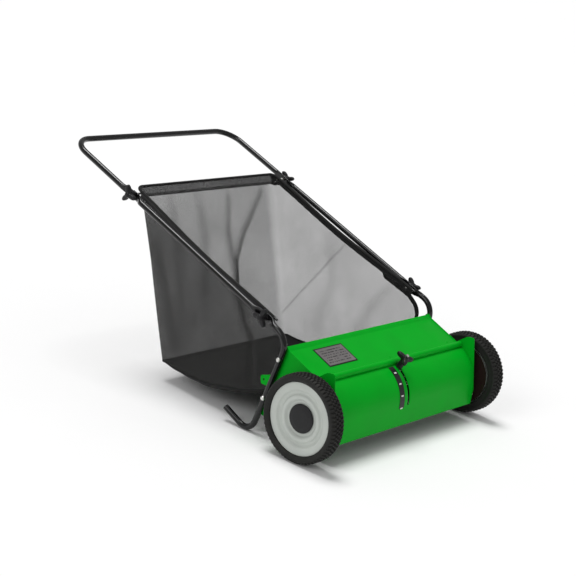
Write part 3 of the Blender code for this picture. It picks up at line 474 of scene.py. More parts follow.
def hard_surface(name, colour, worn, roughness, metallic=0.0, coat=0.0, fine=900.0, skin=0.15,
                 skin_depth=0.0001, scuffs=0.3, dust=0.2, patches=0.12, shine=0.25):
    """Paint, plating or plastic: patchy colour, scratches that show a second colour, dust on
    top, roughness that follows all three and a fine skin as bump."""
    material = bpy.data.materials.new(name)
    material.use_nodes = True
    tree = material.node_tree
    shader = tree.nodes["Principled BSDF"]
    place = tree.nodes.new("ShaderNodeTexCoord").outputs["Object"]
    grain = use_group(tree, GRAIN, {"Vector": place, "Fine": fine})
    marks = use_group(tree, SCUFFS, {"Vector": place, "Amount": scuffs})
    settled = use_group(tree, DUST, {"Vector": place, "Amount": dust})
    darker = tuple(c * (1 - patches) for c in colour) + (1.0,)
    lighter = tuple(min(1.0, c * (1 + patches)) for c in colour) + (1.0,)
    base = mixed(tree, ranged(tree, grain.outputs["Patches"], 0.3, 0.7, 0.0, 1.0), darker, lighter)
    base = mixed(tree, marks.outputs["Mask"], base, (*worn, 1.0))
    base = mixed(tree, settled.outputs["Mask"], base, DUST_COLOUR)
    tree.links.new(base, shader.inputs["Base Color"])
    rough = ranged(tree, grain.outputs["Patches"], 0.25, 0.75, roughness * 0.8, roughness * 1.2)
    rough = math_node(tree, "ADD", rough,
                      math_node(tree, "MULTIPLY", settled.outputs["Mask"], 0.5))
    rough = math_node(tree, "ADD", rough, math_node(tree, "MULTIPLY", marks.outputs["Mask"], 0.2))
    tree.links.new(rough, shader.inputs["Roughness"])
    shader.inputs["Metallic"].default_value = metallic
    shader.inputs["Specular IOR Level"].default_value = shine
    shader.inputs["Coat Weight"].default_value = coat
    shader.inputs["Coat Roughness"].default_value = 0.12
    bump = add_node(tree, "ShaderNodeBump", {"Strength": skin, "Distance": skin_depth,
                                             "Height": grain.outputs["Skin"]})
    tree.links.new(bump.outputs[0], shader.inputs["Normal"])
    return material


def cloth(name, colour, pitch, cover, fold_cover=0.0, roughness=0.85):
    """Woven cloth on a map in metres; cover is how much of the light one face stops.  A fold
    attribute makes the cloth denser, and so darker: on the bag walls it carries painted shade
    along the creases and over the near and rear walls, on the hem it makes the side runs denser."""
    material = bpy.data.materials.new(name)
    material.use_nodes = True
    tree = material.node_tree
    shader = tree.nodes["Principled BSDF"]
    place = tree.nodes.new("ShaderNodeTexCoord")
    weave = use_group(tree, WEAVE, {"Vector": place.outputs["UV"], "Pitch": pitch})
    grain = use_group(tree, GRAIN, {"Vector": place.outputs["Object"], "Fine": 260.0, "Slow": 7.0})
    darker = tuple(c * 0.78 for c in colour) + (1.0,)
    lighter = tuple(c * 1.25 for c in colour) + (1.0,)
    base = mixed(tree, ranged(tree, weave.outputs["Slub"], 0.3, 0.7, 0.0, 1.0), darker, lighter)
    base = mixed(tree, ranged(tree, grain.outputs["Patches"], 0.45, 0.8, 0.0, 0.25), base,
                 tuple(min(1.0, c * 1.7) for c in colour) + (1.0,))
    tree.links.new(base, shader.inputs["Base Color"])
    shader.inputs["Roughness"].default_value = roughness
    shader.inputs["Specular IOR Level"].default_value = 0.10
    shader.inputs["Sheen Weight"].default_value = 0.04
    shader.inputs["Sheen Roughness"].default_value = 0.5
    bump = add_node(tree, "ShaderNodeBump", {"Strength": 0.5, "Distance": 0.0004,
                                             "Height": weave.outputs["Height"]})
    tree.links.new(bump.outputs[0], shader.inputs["Normal"])
    if cover < 1.0:
        thread = ranged(tree, weave.outputs["Hole"], 0.0, 1.0, cover + 0.06, cover - 0.22)
        cloudy = ranged(tree, grain.outputs["Patches"], 0.3, 0.7, -0.03, 0.03)
        fold = add_node(tree, "ShaderNodeAttribute", attribute_name="fold").outputs["Fac"]
        # The fold attribute adds cover: painted shade on the bag walls, denser side runs on the hem.
        dense = math_node(tree, "MULTIPLY", fold, fold_cover)
        alpha = math_node(tree, "ADD", math_node(tree, "ADD", thread, cloudy), dense)
        tree.links.new(math_node(tree, "MINIMUM", alpha, 1.0), shader.inputs["Alpha"])
    return material


def printed_plate():
    """Grey foil with a dark frame, rows of plain bars and one block, on object coordinates."""
    material = hard_surface("printed_foil", (0.185, 0.175, 0.175), (0.5, 0.5, 0.5), 0.38,
                            metallic=0.25, fine=1600.0, scuffs=0.25, dust=0.15, patches=0.1)
    tree = material.node_tree
    shader = tree.nodes["Principled BSDF"]
    low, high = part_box("data_plate")
    place = tree.nodes.new("ShaderNodeTexCoord").outputs["Object"]
    parts = add_node(tree, "ShaderNodeSeparateXYZ", {0: place})
    across = ranged(tree, parts.outputs[0], low[0], high[0], 0.0, 1.0)
    up = ranged(tree, parts.outputs[1], low[1], high[1], 0.0, 1.0)
    off_x = math_node(tree, "ABSOLUTE", math_node(tree, "SUBTRACT", across, 0.5))
    off_y = math_node(tree, "ABSOLUTE", math_node(tree, "SUBTRACT", up, 0.5))
    frame_x = math_node(tree, "GREATER_THAN", off_x, 0.468)
    frame_y = math_node(tree, "GREATER_THAN", off_y, 0.445)
    border = math_node(tree, "MAXIMUM", frame_x, frame_y)
    rows = math_node(tree, "MULTIPLY", up, 8.0)
    in_row = math_node(tree, "COMPARE", math_node(tree, "FRACT", rows), 0.5, 0.20)
    line = math_node(tree, "FLOOR", rows)
    words = add_node(tree, "ShaderNodeCombineXYZ",
                     {0: math_node(tree, "MULTIPLY", across, 26.0),
                      1: math_node(tree, "MULTIPLY", line, 7.3)})
    gaps = add_node(tree, "ShaderNodeTexNoise", {"Vector": words.outputs[0], "Scale": 1.0,
                                                 "Detail": 0.0})
    letters = math_node(tree, "GREATER_THAN", gaps.outputs[0], 0.47)
    inside = math_node(tree, "LESS_THAN", off_x, 0.40)
    inside = math_node(tree, "MULTIPLY", inside, math_node(tree, "LESS_THAN", off_y, 0.37))
    bars = math_node(tree, "MULTIPLY", math_node(tree, "MULTIPLY", in_row, letters), inside)
    ink = math_node(tree, "MAXIMUM", border, math_node(tree, "MULTIPLY", bars, 0.85))
    old = shader.inputs["Base Color"].links[0].from_socket
    tree.links.new(mixed(tree, ink, old, (0.012, 0.011, 0.012, 1.0)), shader.inputs["Base Color"])
    return material


GREEN = hard_surface("green_powder_coat", (0.0004, 0.400, 0.0165), (0.02, 0.10, 0.03), 0.38,
                     fine=520.0, skin=0.22, scuffs=0.15, dust=0.006, patches=0.05, shine=0.05)
BLACK_PAINT = hard_surface("black_gloss_paint", (0.0035, 0.0035, 0.004), (0.12, 0.12, 0.12), 0.17,
                           coat=0.35, fine=700.0, skin=0.12, scuffs=0.25, dust=0.02, shine=0.25)
BLACK_PLASTIC = hard_surface("black_moulding", (0.012, 0.012, 0.013), (0.06, 0.06, 0.06), 0.36,
                             fine=1500.0, skin=0.35, scuffs=0.3, dust=0.03, shine=0.25)
RIM_PLASTIC = hard_surface("pale_grey_moulding", (0.520, 0.552, 0.515), (0.30, 0.30, 0.28), 0.40,
                           fine=1200.0, skin=0.15, scuffs=0.25, dust=0.10, patches=0.05)
RUBBER = hard_surface("tyre_rubber", (0.016, 0.016, 0.015), (0.06, 0.058, 0.052), 0.58,
                      fine=1400.0, skin=0.4, skin_depth=0.0002, scuffs=0.5, dust=0.08,
                      patches=0.20, shine=0.18)
ZINC = hard_surface("zinc_plating", (0.66, 0.66, 0.63), (0.30, 0.29, 0.26), 0.28, metallic=1.0,
                    fine=800.0, scuffs=0.5, dust=0.05, patches=0.15)
GREY_PLASTIC = hard_surface("grey_moulding", (0.085, 0.087, 0.09), (0.2, 0.2, 0.2), 0.5,
                            fine=1300.0, skin=0.3)
BROWN_PLASTIC = hard_surface("dark_brown_moulding", (0.017, 0.0075, 0.0075), (0.08, 0.06, 0.05),
                             0.38, fine=1300.0, skin=0.3, dust=0.03, shine=0.15)
WHITE_INK = hard_surface("white_marks", (0.80, 0.80, 0.78), (0.4, 0.4, 0.4), 0.5)
BRISTLE = hard_surface("bristles", (0.016, 0.016, 0.018), (0.10, 0.09, 0.07), 0.55, fine=500.0,
                       scuffs=0.5, dust=0.25, patches=0.35)
FOIL = printed_plate()
# The last number sets how far the walls' painted shade, carried by the fold attribute, darkens this mesh.
MESH_CLOTH = cloth("bag_mesh_weave", (0.034, 0.034, 0.033), 0.0016, 0.43, 0.40)
BLACK_CLOTH = cloth("bag_black_weave", (0.016, 0.016, 0.016), 0.0009, 1.0)
HEM_CLOTH = cloth("bag_hem_weave", (0.022, 0.022, 0.022), 0.0012, 0.80, 0.50)


# ---------------------------------------------------------------- plain solids that stay
def dress_kept_nodes():
    """Give every solid that stays in view its finish."""
    looks = {"green_paint": GREEN, "black_paint": BLACK_PAINT, "black_plastic": BLACK_PLASTIC,
             "white_plastic": RIM_PLASTIC, "rubber": RUBBER, "zinc": ZINC,
             "grey_plastic": GREY_PLASTIC, "brown_plastic": BROWN_PLASTIC, "label": FOIL,
             "mesh_cloth": MESH_CLOTH, "black_cloth": BLACK_CLOTH, "bristle": BRISTLE}
    slots = {part["node"]: part["material_slot"] for part in frame["record"]["subparts"]}
    for name, node in NODES.items():
        look = looks[slots[name]]
        for place in node.material_slots:
            place.material = look


# ---------------------------------------------------------------- housing
def panel_line(angles, offset=0.0, straight=190.0):
    """(y, z) on the front panel: an arc about the brush axis, then its tangent."""
    angles = np.asarray(angles, float)
    bend = np.radians(np.minimum(angles, straight))
    radius = PANEL_RADIUS + offset
    run = PANEL_RADIUS * np.radians(np.maximum(angles - straight, 0.0))
    return np.stack([BRUSH_Y + radius * np.cos(bend) - run * np.sin(bend),
                     radius * np.sin(bend) + run * np.cos(bend)], axis=-1)


def bent_sheet(name, line, columns, gone=None):
    """A line in (y, z) drawn out along X as a sheet of steel; gone marks cells left out."""
    grid = np.stack(np.broadcast_arrays(columns[None, :], line[:, None, 0], line[:, None, 1]), -1)
    faces = grid_faces(*grid.shape[:2])
    if gone is not None:
        faces = faces[~gone.reshape(-1)]
    piece = add_piece(name, parked(grid), faces, GREEN, solid=False)
    thick = piece.modifiers.new("steel_thickness", "SOLIDIFY")
    thick.thickness, thick.offset = SHEET - 0.0001, 1.0
    edge = piece.modifiers.new("eased_edges", "BEVEL")
    edge.width, edge.segments, edge.angle_limit = 0.0003, 2, math.radians(60)
    return finish_piece(piece, "housing", "green_paint", name.replace("_sheet", ""))


def build_cover():
    """Cover from its rolled front edge over the slope to the rear flange."""
    a = np.radians(np.linspace(242.0, 30.0, 28))
    roll = np.stack([-0.013 + 0.009 * np.cos(a), 0.092 + 0.009 * np.sin(a)], axis=-1)
    slope = softened([(-0.0052, 0.0965), (-0.0015, 0.0962), (0.090, 0.1548), (0.099, 0.1668)],
                     0.0022, 7)
    line = np.vstack([roll, slope[1:]])
    bent_sheet("top_cover_sheet", line[::-1], np.linspace(-COVER_HALF, COVER_HALF, 9))


def build_front_panel():
    """Curved panel down to a hemmed bottom edge, with the slot of the height knob left out."""
    bottom = panel_line([190.0])[0]
    stretch = (bottom[1] + 0.080) / PANEL_RADIUS / math.cos(math.radians(10.0))
    last = 190.0 + math.degrees(stretch)
    angles = np.unique(np.concatenate([np.linspace(122.0, last, 70), SLOT_ANGLES]))
    line = panel_line(angles)
    line = np.vstack([line, line[-1] + np.array([[0.0035, -0.0016], [0.010, -0.002]])])
    columns = np.unique(np.concatenate([np.linspace(-COVER_HALF, COVER_HALF, 24),
                                        [-SLOT_HALF, SLOT_HALF]]))
    middle_angle = (angles[1:] + angles[:-1]) / 2
    middle_x = (columns[1:] + columns[:-1]) / 2
    gone = ((middle_angle[:, None] > SLOT_ANGLES[0]) & (middle_angle[:, None] < SLOT_ANGLES[1])
            & (np.abs(middle_x[None, :]) < SLOT_HALF))
    gone = np.vstack([gone, np.zeros((2, len(middle_x)), bool)])
    bent_sheet("front_panel_sheet", line, columns, gone)


def build_scale_marks():
    """Four pale strokes beside the slot, one for each height of the brush."""
    points, faces = [], []
    for angle in MARK_ANGLES:
        edge = np.array([angle - 1.1, angle + 1.1])
        outline = np.vstack([panel_line(edge, 0.0014), panel_line(edge[::-1], 0.0009)])
        grid, quads = prism(outline, -0.0360, -0.0262)
        faces += [[k + 8 * len(points) for k in f] for f in quads]
        points.append(grid.reshape(-1, 3))
    marks = add_piece("scale_marks", parked(np.vstack(points)), faces, WHITE_INK)
    finish_piece(marks, "housing", "white_plastic")


def build_cover_rivets():
    """Low domed rivets that hold the cover to the cross member below it."""
    slope = np.array([0.0, 0.0915, 0.0586]) / math.hypot(0.0915, 0.0586)
    up = np.array([0.0, -slope[2], slope[1]])
    ring = circle(24)
    rise = np.linspace(0.0, math.pi / 2, 7)
    points, faces = [], []
    for x, run in ((0.0062, 0.0095), (0.2900, 0.0095), (-0.2900, 0.0095)):
        at = x * X_AXIS + COVER_FRONT + slope * run
        r, h = 0.0036 * np.cos(rise), 0.0015 * np.sin(rise) - 0.0003
        grid = (at + r[:, None, None] * (ring[:, :1] * X_AXIS + ring[:, 1:] * slope)
                + h[:, None, None] * up)
        start = sum(len(p) for p in points)
        faces += [[k + start for k in f] for f in tube_faces(grid)]
        points.append(grid.reshape(-1, 3))
    rivets = add_piece("cover_rivets", parked(np.vstack(points)), faces, GREEN, bend=60.0)
    finish_piece(rivets, "housing", "green_paint")


def build_bolts():
    """Carriage bolts through the tubes: a nut inside the side plate and a dome outside."""
    for side, sign in SIDES:
        for place, z in (("upper", LEG_TOP[2]), ("lower", 0.021)):
            profile = [(0.3240, 0.0), (0.3240, 0.0056), (0.3278, 0.0058), (0.3278, 0.0030),
                       (0.3476, 0.0030), (0.3476, 0.0067), (0.3486, 0.0066), (0.3502, 0.0056),
                       (0.3516, 0.0034), (0.3522, 0.0)]
            node = "tube_bolt_%s_%s" % (place, side)
            grid, faces = turned(softened(profile, 0.0006, 4), (on_leg(z), z), 32, sign)
            piece = add_piece(node + "_head", parked(grid), faces, ZINC)
            finish_piece(piece, "housing", "zinc", node)


# ---------------------------------------------------------------- knobs
def knob_grid(base, along, across, neck, turn, radius=0.0285, waist=0.0085):
    """Three-lobed knob: radius = waist + (radius - waist) (1/2 + 1/2 cos 3a)^2.1 above a round
    neck, the lobes rounded over their edges by a profile that swells and shrinks with height."""
    third = np.cross(along, across)
    a = np.linspace(0.0, 2 * math.pi, 120, endpoint=False)[None, :]
    lobes = waist + (radius - waist) * (0.5 + 0.5 * np.cos(3 * a)) ** 2.1
    rise = [0.0, 0.0, neck * 0.3, neck * 0.8, neck, neck + 0.0004, neck + 0.0012, neck + 0.0025,
            neck + 0.0060, neck + 0.0095, neck + 0.0112, neck + 0.0124, neck + 0.0130]
    share = [0.0, 0.0, 0.0, 0.0, 0.04, 0.80, 0.93, 0.985, 1.0, 0.985, 0.93, 0.84, 0.74]
    round_part = [0.0, 0.0094, 0.0094, 0.0088, 0.0090, 0.0, 0.0, 0.0, 0.0, 0.0, 0.0, 0.0, 0.0]
    top = [(neck + 0.0138, 0.0080), (neck + 0.0160, 0.0068), (neck + 0.0172, 0.0056)]
    rise = np.array(rise + [t[0] for t in top] + [neck + 0.0172])[:, None]
    share = np.array(share + [0.0] * 4)[:, None]
    round_part = np.array(round_part + [t[1] for t in top] + [0.0])[:, None]
    r = share * lobes + round_part
    turned_a = a + turn
    offset = (r * np.cos(turned_a))[..., None] * across + (r * np.sin(turned_a))[..., None] * third
    grid = base + rise[..., None] * along + offset
    return grid, grid_faces(*grid.shape[:2], False, True)


def build_knobs():
    """Clamp knobs with their threaded bolts, then the height knob with its bolt's end."""
    for place, at, turns, share in (("lower", LOWER_CLAMP, (68.0, 110.0), 0.04),
                                    ("upper", UPPER_CLAMP, (56.0, 34.0), 0.96)):
        for (side, sign), turn in zip(SIDES, turns):
            base = at + X_AXIS * sign * (TUBE_X - OUTER_LAP + LAP / 2 + 0.0006)
            grid, faces = knob_grid(base, X_AXIS * sign, Y_AXIS, 0.0060, math.radians(turn))
            node = "clamp_knob_%s_%s" % (place, side)
            knob = add_piece(node + "_grip", parked(grid), faces, BLACK_PLASTIC, bend=50.0)
            finish_piece(knob, node, "black_plastic", node)
            inner = TUBE_X - INNER_LAP - LAP / 2 - 0.0003
            tip = rod_x(share) - 0.0036
            reach = np.linspace(tip, inner - 0.0042, 40)
            thread = 0.0029 + 0.00022 * np.abs(((reach - tip) / 0.0010) % 1.0 - 0.5)
            profile = np.vstack([[(tip, 0.0)], np.stack([reach, thread], -1),
                                 [(inner - 0.0040, 0.0052), (inner, 0.0052), (inner, 0.0030),
                                  (0.3520, 0.0030), (0.3530, 0.0)]])
            bolt = "clamp_bolt_%s_%s" % (place, side)
            grid, faces = turned(profile, at[1:], 24, sign)
            piece = add_piece(bolt + "_thread", parked(grid), faces, ZINC)
            finish_piece(piece, "housing", "zinc", bolt)
    along = np.array([0.0, math.cos(KNOB_ANGLE), math.sin(KNOB_ANGLE)])
    base = np.array([0.0, BRUSH_Y, 0.0]) + along * (PANEL_RADIUS + 0.0019)
    grid, faces = knob_grid(base, along, X_AXIS, 0.0260, math.radians(100.0))
    knob = add_piece("height_knob_grip", parked(grid), faces, BLACK_PLASTIC, bend=50.0)
    finish_piece(knob, "height_knob", "black_plastic", "height_knob")
    third = np.cross(along, X_AXIS)
    ring = circle(24)
    rise = np.array([0.0425, 0.0460, 0.0472, 0.0476])[:, None, None]
    r = np.array([0.0044, 0.0044, 0.0034, 0.0002])[:, None, None]
    grid = base + rise * along + r * (ring[:, :1] * X_AXIS + ring[:, 1:] * third)
    cap = add_piece("height_knob_bolt_end", parked(grid), tube_faces(grid), ZINC)
    finish_piece(cap, "height_knob", "zinc")


# ---------------------------------------------------------------- wheels
def tread_ripple(x, r, a):
    """Tread depth: four ring grooves part five rows of blocks, every other row is half a
    block on, and the outer rows' gaps run out over the shoulders."""
    off = np.abs(x - TYRE_MIDDLE)
    row = np.digitize(off, TREAD_GROOVES)
    along = a / (2 * math.pi) * TREAD_BLOCKS + 0.5 * (row % 2)
    gap = smooth_step(np.abs(along % 1.0 - 0.5), 0.25, 0.35)
    ring = np.maximum(*(1 - smooth_step(np.abs(off - groove), 0.0004, 0.0012)
                        for groove in TREAD_GROOVES))
    on_tread = (1 - smooth_step(off, 0.0222, 0.0246)) * smooth_step(r, 0.1120, 0.1160)
    return -TREAD_DEPTH * np.maximum(ring, gap) * on_tread


def build_wheels():
    """Treaded tyres, dished rims with the ring gear inside, and domed hub caps."""
    inner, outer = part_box("tyre_left")[0][0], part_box("tyre_left")[1][0]
    for side, sign in SIDES:
        wall_out = softened([(outer - 0.0115, 0.1196), (outer - 0.0045, 0.1176),
                             (outer - 0.0002, 0.1115), (outer - 0.0016, 0.1035),
                             (outer - 0.0052, 0.0982)], 0.0035, 6)
        wall_in = softened([(inner + 0.0115, 0.1196), (inner + 0.0045, 0.1176),
                            (inner + 0.0002, 0.1115), (inner + 0.0010, 0.1035),
                            (inner + 0.0004, 0.0985), (inner + 0.0006, 0.0915),
                            (inner + 0.0032, 0.0912), (inner + 0.0040, 0.0982)], 0.0035, 6)
        tread_x = np.linspace(inner + 0.0120, outer - 0.0120, 46)
        crown = TYRE_RADIUS - 0.8 * (tread_x - TYRE_MIDDLE) ** 2
        profile = np.vstack([np.stack([tread_x, crown], -1), wall_out, wall_in[::-1]])
        grid, faces = turned(profile, (0.0, 0.0), TREAD_BLOCKS * 10, sign, True, tread_ripple)
        tyre = add_piece("tyre_%s_tread" % side, parked(grid), faces, RUBBER, bend=40.0)
        finish_piece(tyre, "wheel_" + side, "rubber", "tyre_" + side)
        face = softened([(inner + 0.0045, 0.0945), (inner + 0.0045, 0.0977), (0.3982, 0.0977),
                         (0.3985, 0.0962), (0.3985, 0.0800), (0.3975, 0.0775), (0.3925, 0.0735),
                         (0.3905, 0.0690), (0.3915, 0.0650), (0.3958, 0.0615), (0.3962, 0.0555),
                         (0.3950, 0.0525), (0.3880, 0.0470), (0.3872, 0.0400),
                         (0.3880, 0.0150), (0.3836, 0.0145), (0.3836, 0.0063),
                         (0.3537, 0.0063), (0.3537, 0.0130), (0.3850, 0.0145),
                         (0.3850, 0.0475), (0.3940, 0.0945)], 0.0018, 5, True)
        grid, faces = turned(face, (0.0, 0.0), 144, sign, True)
        a = np.linspace(0.0, 2 * math.pi, RING_TEETH * 8, endpoint=False)
        phase = np.abs((a / (2 * math.pi) * RING_TEETH) % 1.0 - 0.5)
        tooth_r = RING_PITCH_RADIUS - 0.0015 + 0.0036 * smooth_step(phase, 0.13, 0.31)
        corners = np.array([[inner + 0.0015, 0], [0.3900, 0], [0.3900, 1], [inner + 0.0015, 1]])
        r = tooth_r[None, :] * (1 - corners[:, 1:]) + 0.0605 * corners[:, 1:]
        gear = np.stack(np.broadcast_arrays(sign * corners[:, :1], r * np.cos(a), r * np.sin(a)),
                        axis=-1)
        gear_faces = grid_faces(4, len(a), True, True) + grid[..., 0].size
        points = np.vstack([grid.reshape(-1, 3), gear.reshape(-1, 3)])
        rim = add_piece("wheel_rim_%s_dish" % side, parked(points),
                        np.vstack([faces, gear_faces]), RIM_PLASTIC, bend=40.0)
        finish_piece(rim, "wheel_" + side, "white_plastic", "wheel_rim_" + side)
        cap_profile = softened([(0.3899, 0.0), (0.3899, 0.0340), (0.3885, 0.0352),
                                (0.3885, 0.0390), (0.3915, 0.0392), (0.3934, 0.0370),
                                (0.3940, 0.0330), (0.3952, 0.0240), (0.3955, 0.0)], 0.0012, 6)
        grid, faces = turned(cap_profile, (0.0, 0.0), 96, sign)
        cap = add_piece("hub_cap_%s_dome" % side, parked(grid), faces, BLACK_PLASTIC)
        finish_piece(cap, "wheel_" + side, "black_plastic", "hub_cap_" + side)


# ---------------------------------------------------------------- brush
def build_brush():
    """Four rails with three rows of tapered bristles, splayed a little from the root."""
    for number in range(4):
        turn = number * math.pi / 2
        out = np.array([0.0, math.cos(turn), math.sin(turn)])
        across = np.array([0.0, -math.sin(turn), math.cos(turn)])
        axis = np.array([0.0, BRUSH_Y, 0.0])
        outline = softened([(0.0304, 0.0079), (0.0420, 0.0079), (0.0426, 0.0050),
                            (0.0426, -0.0050), (0.0420, -0.0079), (0.0304, -0.0079)],
                           0.0012, 4, True)
        line = axis + outline[:, :1] * out + outline[:, 1:] * across
        grid, faces = prism(line[:, 1:], -BRUSH_HALF, BRUSH_HALF)
        rows = np.array([-0.0038, 0.0, 0.0038])
        x = np.linspace(-0.3165, 0.3165, BRISTLES_IN_ROW)
        x, row = [v.ravel() for v in np.meshgrid(x, rows)]
        count = len(x)
        root = axis + 0.0415 * out + row[:, None] * across + x[:, None] * X_AXIS
        splay = row * 2.0 + RANDOM.normal(0.0, 0.0011, count)
        reach = BRISTLE_TIP - RANDOM.random(count) * 0.003
        lean = np.clip(x + RANDOM.normal(0.0, 0.0016, count), -BRUSH_HALF, BRUSH_HALF)
        tip = axis + reach[:, None] * out + np.clip(splay, -0.0088, 0.0088)[:, None] * across
        tip = tip + lean[:, None] * X_AXIS
        ring = 0.00075 * circle(3)
        section = ring[:, :1] * X_AXIS + ring[:, 1:] * across
        base = root[:, None] + section
        end = tip[:, None] + 0.35 * section
        hairs = np.concatenate([base, end], axis=1).reshape(-1, 3)
        start = grid.reshape(-1, 3).shape[0] + 6 * np.arange(count)[:, None, None]
        pattern = np.array([[0, 1, 4, 3], [1, 2, 5, 4], [2, 0, 3, 5]])[None]
        quads = (start + pattern).reshape(-1, 4).tolist()
        ends = (start + np.array([[0, 2, 1], [3, 4, 5]])[None]).reshape(-1, 3).tolist()
        points = np.vstack([grid.reshape(-1, 3), hairs])
        node = "brush_strip_%d" % (number + 1)
        strip = add_piece(node + "_bristles", parked(points), faces + quads + ends, BRISTLE)
        finish_piece(strip, "brush", "bristle", node)


# ---------------------------------------------------------------- handle tubes
def tube_sections(path, pressed):
    """Section of a tube along its path: round, and pressed flat near each given end.
    (w cos^(2/p), h sin^(2/p)), where w, h and p go from round to flat over the swell."""
    run = arc_length(path)
    flat, shift, tip = np.zeros(len(path)), np.zeros(len(path)), np.ones(len(path))
    for at_start, sideways in pressed:
        far = run if at_start else run[-1] - run
        share = 1 - smooth_step(far, *LAP_SWELL)
        flat, shift = np.maximum(flat, share), shift + share * sideways
        tip = np.minimum(tip, np.sqrt(np.clip(1 - (1 - far / LAP_HALF) ** 2, 0.0, 1.0)
                                      * (far < LAP_HALF) + (far >= LAP_HALF)))
    wide = (TUBE_RADIUS * (1 - flat) + LAP_HALF * flat) * np.maximum(tip, 0.05)
    thick = TUBE_RADIUS * (1 - flat) + LAP / 2 * flat
    power = (2 / (2 + 2.5 * flat))[:, None]
    c, s = circle(32).T
    a = wide[:, None] * np.sign(c) * np.abs(c) ** power
    b = thick[:, None] * np.sign(s) * np.abs(s) ** power + shift[:, None]
    return np.stack([a, b], axis=-1)


def add_tube(name, path, pressed, normal, node, body, swap=False):
    """A painted tube along path; swap presses it along normal instead of across it."""
    sections = tube_sections(path, pressed)
    if swap:
        sections = sections[..., ::-1]
    grid = swept(path, normal, sections)
    piece = add_piece(name, parked(grid), tube_faces(grid), BLACK_PAINT, bend=50.0)
    return finish_piece(piece, body, "black_paint", node)


def dense_ends(path, spacing=0.006):
    """The path read evenly, with finer steps over its first and last 13 mm."""
    run = arc_length(path)
    middle = np.linspace(0.013, run[-1] - 0.013, int(run[-1] / spacing))
    fine = 0.013 * np.linspace(0.0, 1.0, 9)[:-1] ** 1.6
    want = np.concatenate([fine, middle, run[-1] - fine[::-1]])
    return np.stack([np.interp(want, run, path[:, k]) for k in range(3)], axis=1)


def build_tubes():
    """Bent lower tubes with plugged feet, straight middle tubes and the looped handle."""
    for side, sign in SIDES:
        x = sign * TUBE_X * X_AXIS
        run = ((LOWER_CLAMP[1] - on_leg(LOWER_CLAMP[2]))
               / (HANDLE_DIR[1] + HANDLE_DIR[2] * LEG_LEAN))
        heel = np.array([0.0, on_leg(HEEL_Z), HEEL_Z])
        toe = heel + TOE_REACH * np.array([0.0, math.cos(TOE_SLOPE), math.sin(TOE_SLOPE)])
        corners = np.stack([LOWER_CLAMP + LAP_END * HANDLE_DIR, LOWER_CLAMP - run * HANDLE_DIR,
                            heel, toe]) + x
        path = dense_ends(arc_path(corners, [0.050, 0.036]))
        add_tube("lower_tube_%s_bend" % side, path, [(True, -sign * INNER_LAP)], X_AXIS,
                 "lower_tube_" + side, "housing")
        ends = np.stack([LOWER_CLAMP - LAP_END * HANDLE_DIR,
                         UPPER_CLAMP + LAP_END * HANDLE_DIR]) + x
        add_tube("middle_tube_%s_run" % side, dense_ends(ends),
                 [(True, -sign * OUTER_LAP), (False, -sign * INNER_LAP)], X_AXIS,
                 "middle_tube_" + side, "housing")
        plug, faces = turned(softened([(0.0, 0.0), (0.0, 0.0076), (0.0010, 0.0084),
                                       (0.0030, 0.0080), (0.0042, 0.0)], 0.0008, 5),
                             (0.0, 0.0), 28)
        way = (toe - heel) / TOE_REACH
        side_way = np.cross(way, X_AXIS)
        plug = (toe + x - way * 0.0038 + plug[..., :1] * way
                + plug[..., 1:2] * X_AXIS + plug[..., 2:] * side_way)
        cap = add_piece("foot_plug_" + side, parked(plug), faces, BLACK_PLASTIC)
        finish_piece(cap, "housing", "black_plastic")
    foot, x = UPPER_CLAMP - LAP_END * HANDLE_DIR, TUBE_X * X_AXIS
    corners = np.stack([foot + x, CROSSBAR + x, CROSSBAR - x, foot - x])
    handle = add_tube("upper_handle_loop", dense_ends(arc_path(corners, [0.065, 0.065], 24)),
                      [(True, 0.0), (False, 0.0)], HANDLE_UP, "upper_handle", "handle", swap=True)
    move_laps_inwards(handle)


def move_laps_inwards(handle):
    """Shift the pressed ends of the handle inwards, x = x - sign(x) OUTER_LAP share, so that
    they lie on the outside of the middle tubes' ends."""
    count = len(handle.data.vertices)
    points = np.empty(count * 3)
    handle.data.vertices.foreach_get("co", points)
    points = points.reshape(-1, 3)
    hinge, way = parked(UPPER_CLAMP), parked(UPPER_CLAMP + HANDLE_DIR) - parked(UPPER_CLAMP)
    run = (points - hinge) @ way
    share = 1 - smooth_step(run, LAP_SWELL[0] - LAP_END, LAP_SWELL[1] - LAP_END)
    points[:, 0] -= np.sign(points[:, 0]) * OUTER_LAP * share
    handle.data.vertices.foreach_set("co", points.ravel())
    handle.data.update()


# ---------------------------------------------------------------- bag
def bowed(points):
    """Level points let down by the sag of the frame rod: z - ROD_BOW sin^2(pi share), share
    running from the rod's front end to its rear bar."""
    front, rear = on_handle(ROD_FRONT, ROD_RISE)[1], on_handle(ROD_REAR, ROD_RISE)[1]
    share = np.clip((points[..., 1] - front) / (rear - front), 0.0, 1.0)
    let_down = points.copy()
    let_down[..., 2] -= ROD_BOW * np.sin(math.pi * share) ** 2
    return let_down


def around_bag(side_line, corner, side_count, rear_count):
    """A side line (x, y, z) carried round the back: a quarter circle, a straight rear run, and
    the same mirrored to the other front end."""
    one = smooth_line(side_line, side_count)
    rear = one[-1]
    a = np.linspace(0.0, math.pi / 2, 10)[1:-1]
    bend = np.stack([rear[0] - corner * (1 - np.cos(a)), rear[1] + corner * np.sin(a),
                     np.full(len(a), rear[2])], axis=-1)
    half = np.vstack([one, bend])
    flat = np.stack([(rear[0] - corner) * np.linspace(1.0, -1.0, rear_count),
                     np.full(rear_count, rear[1] + corner), np.full(rear_count, rear[2])], -1)
    return np.vstack([half, flat, half[::-1] * np.array([-1.0, 1.0, 1.0])])


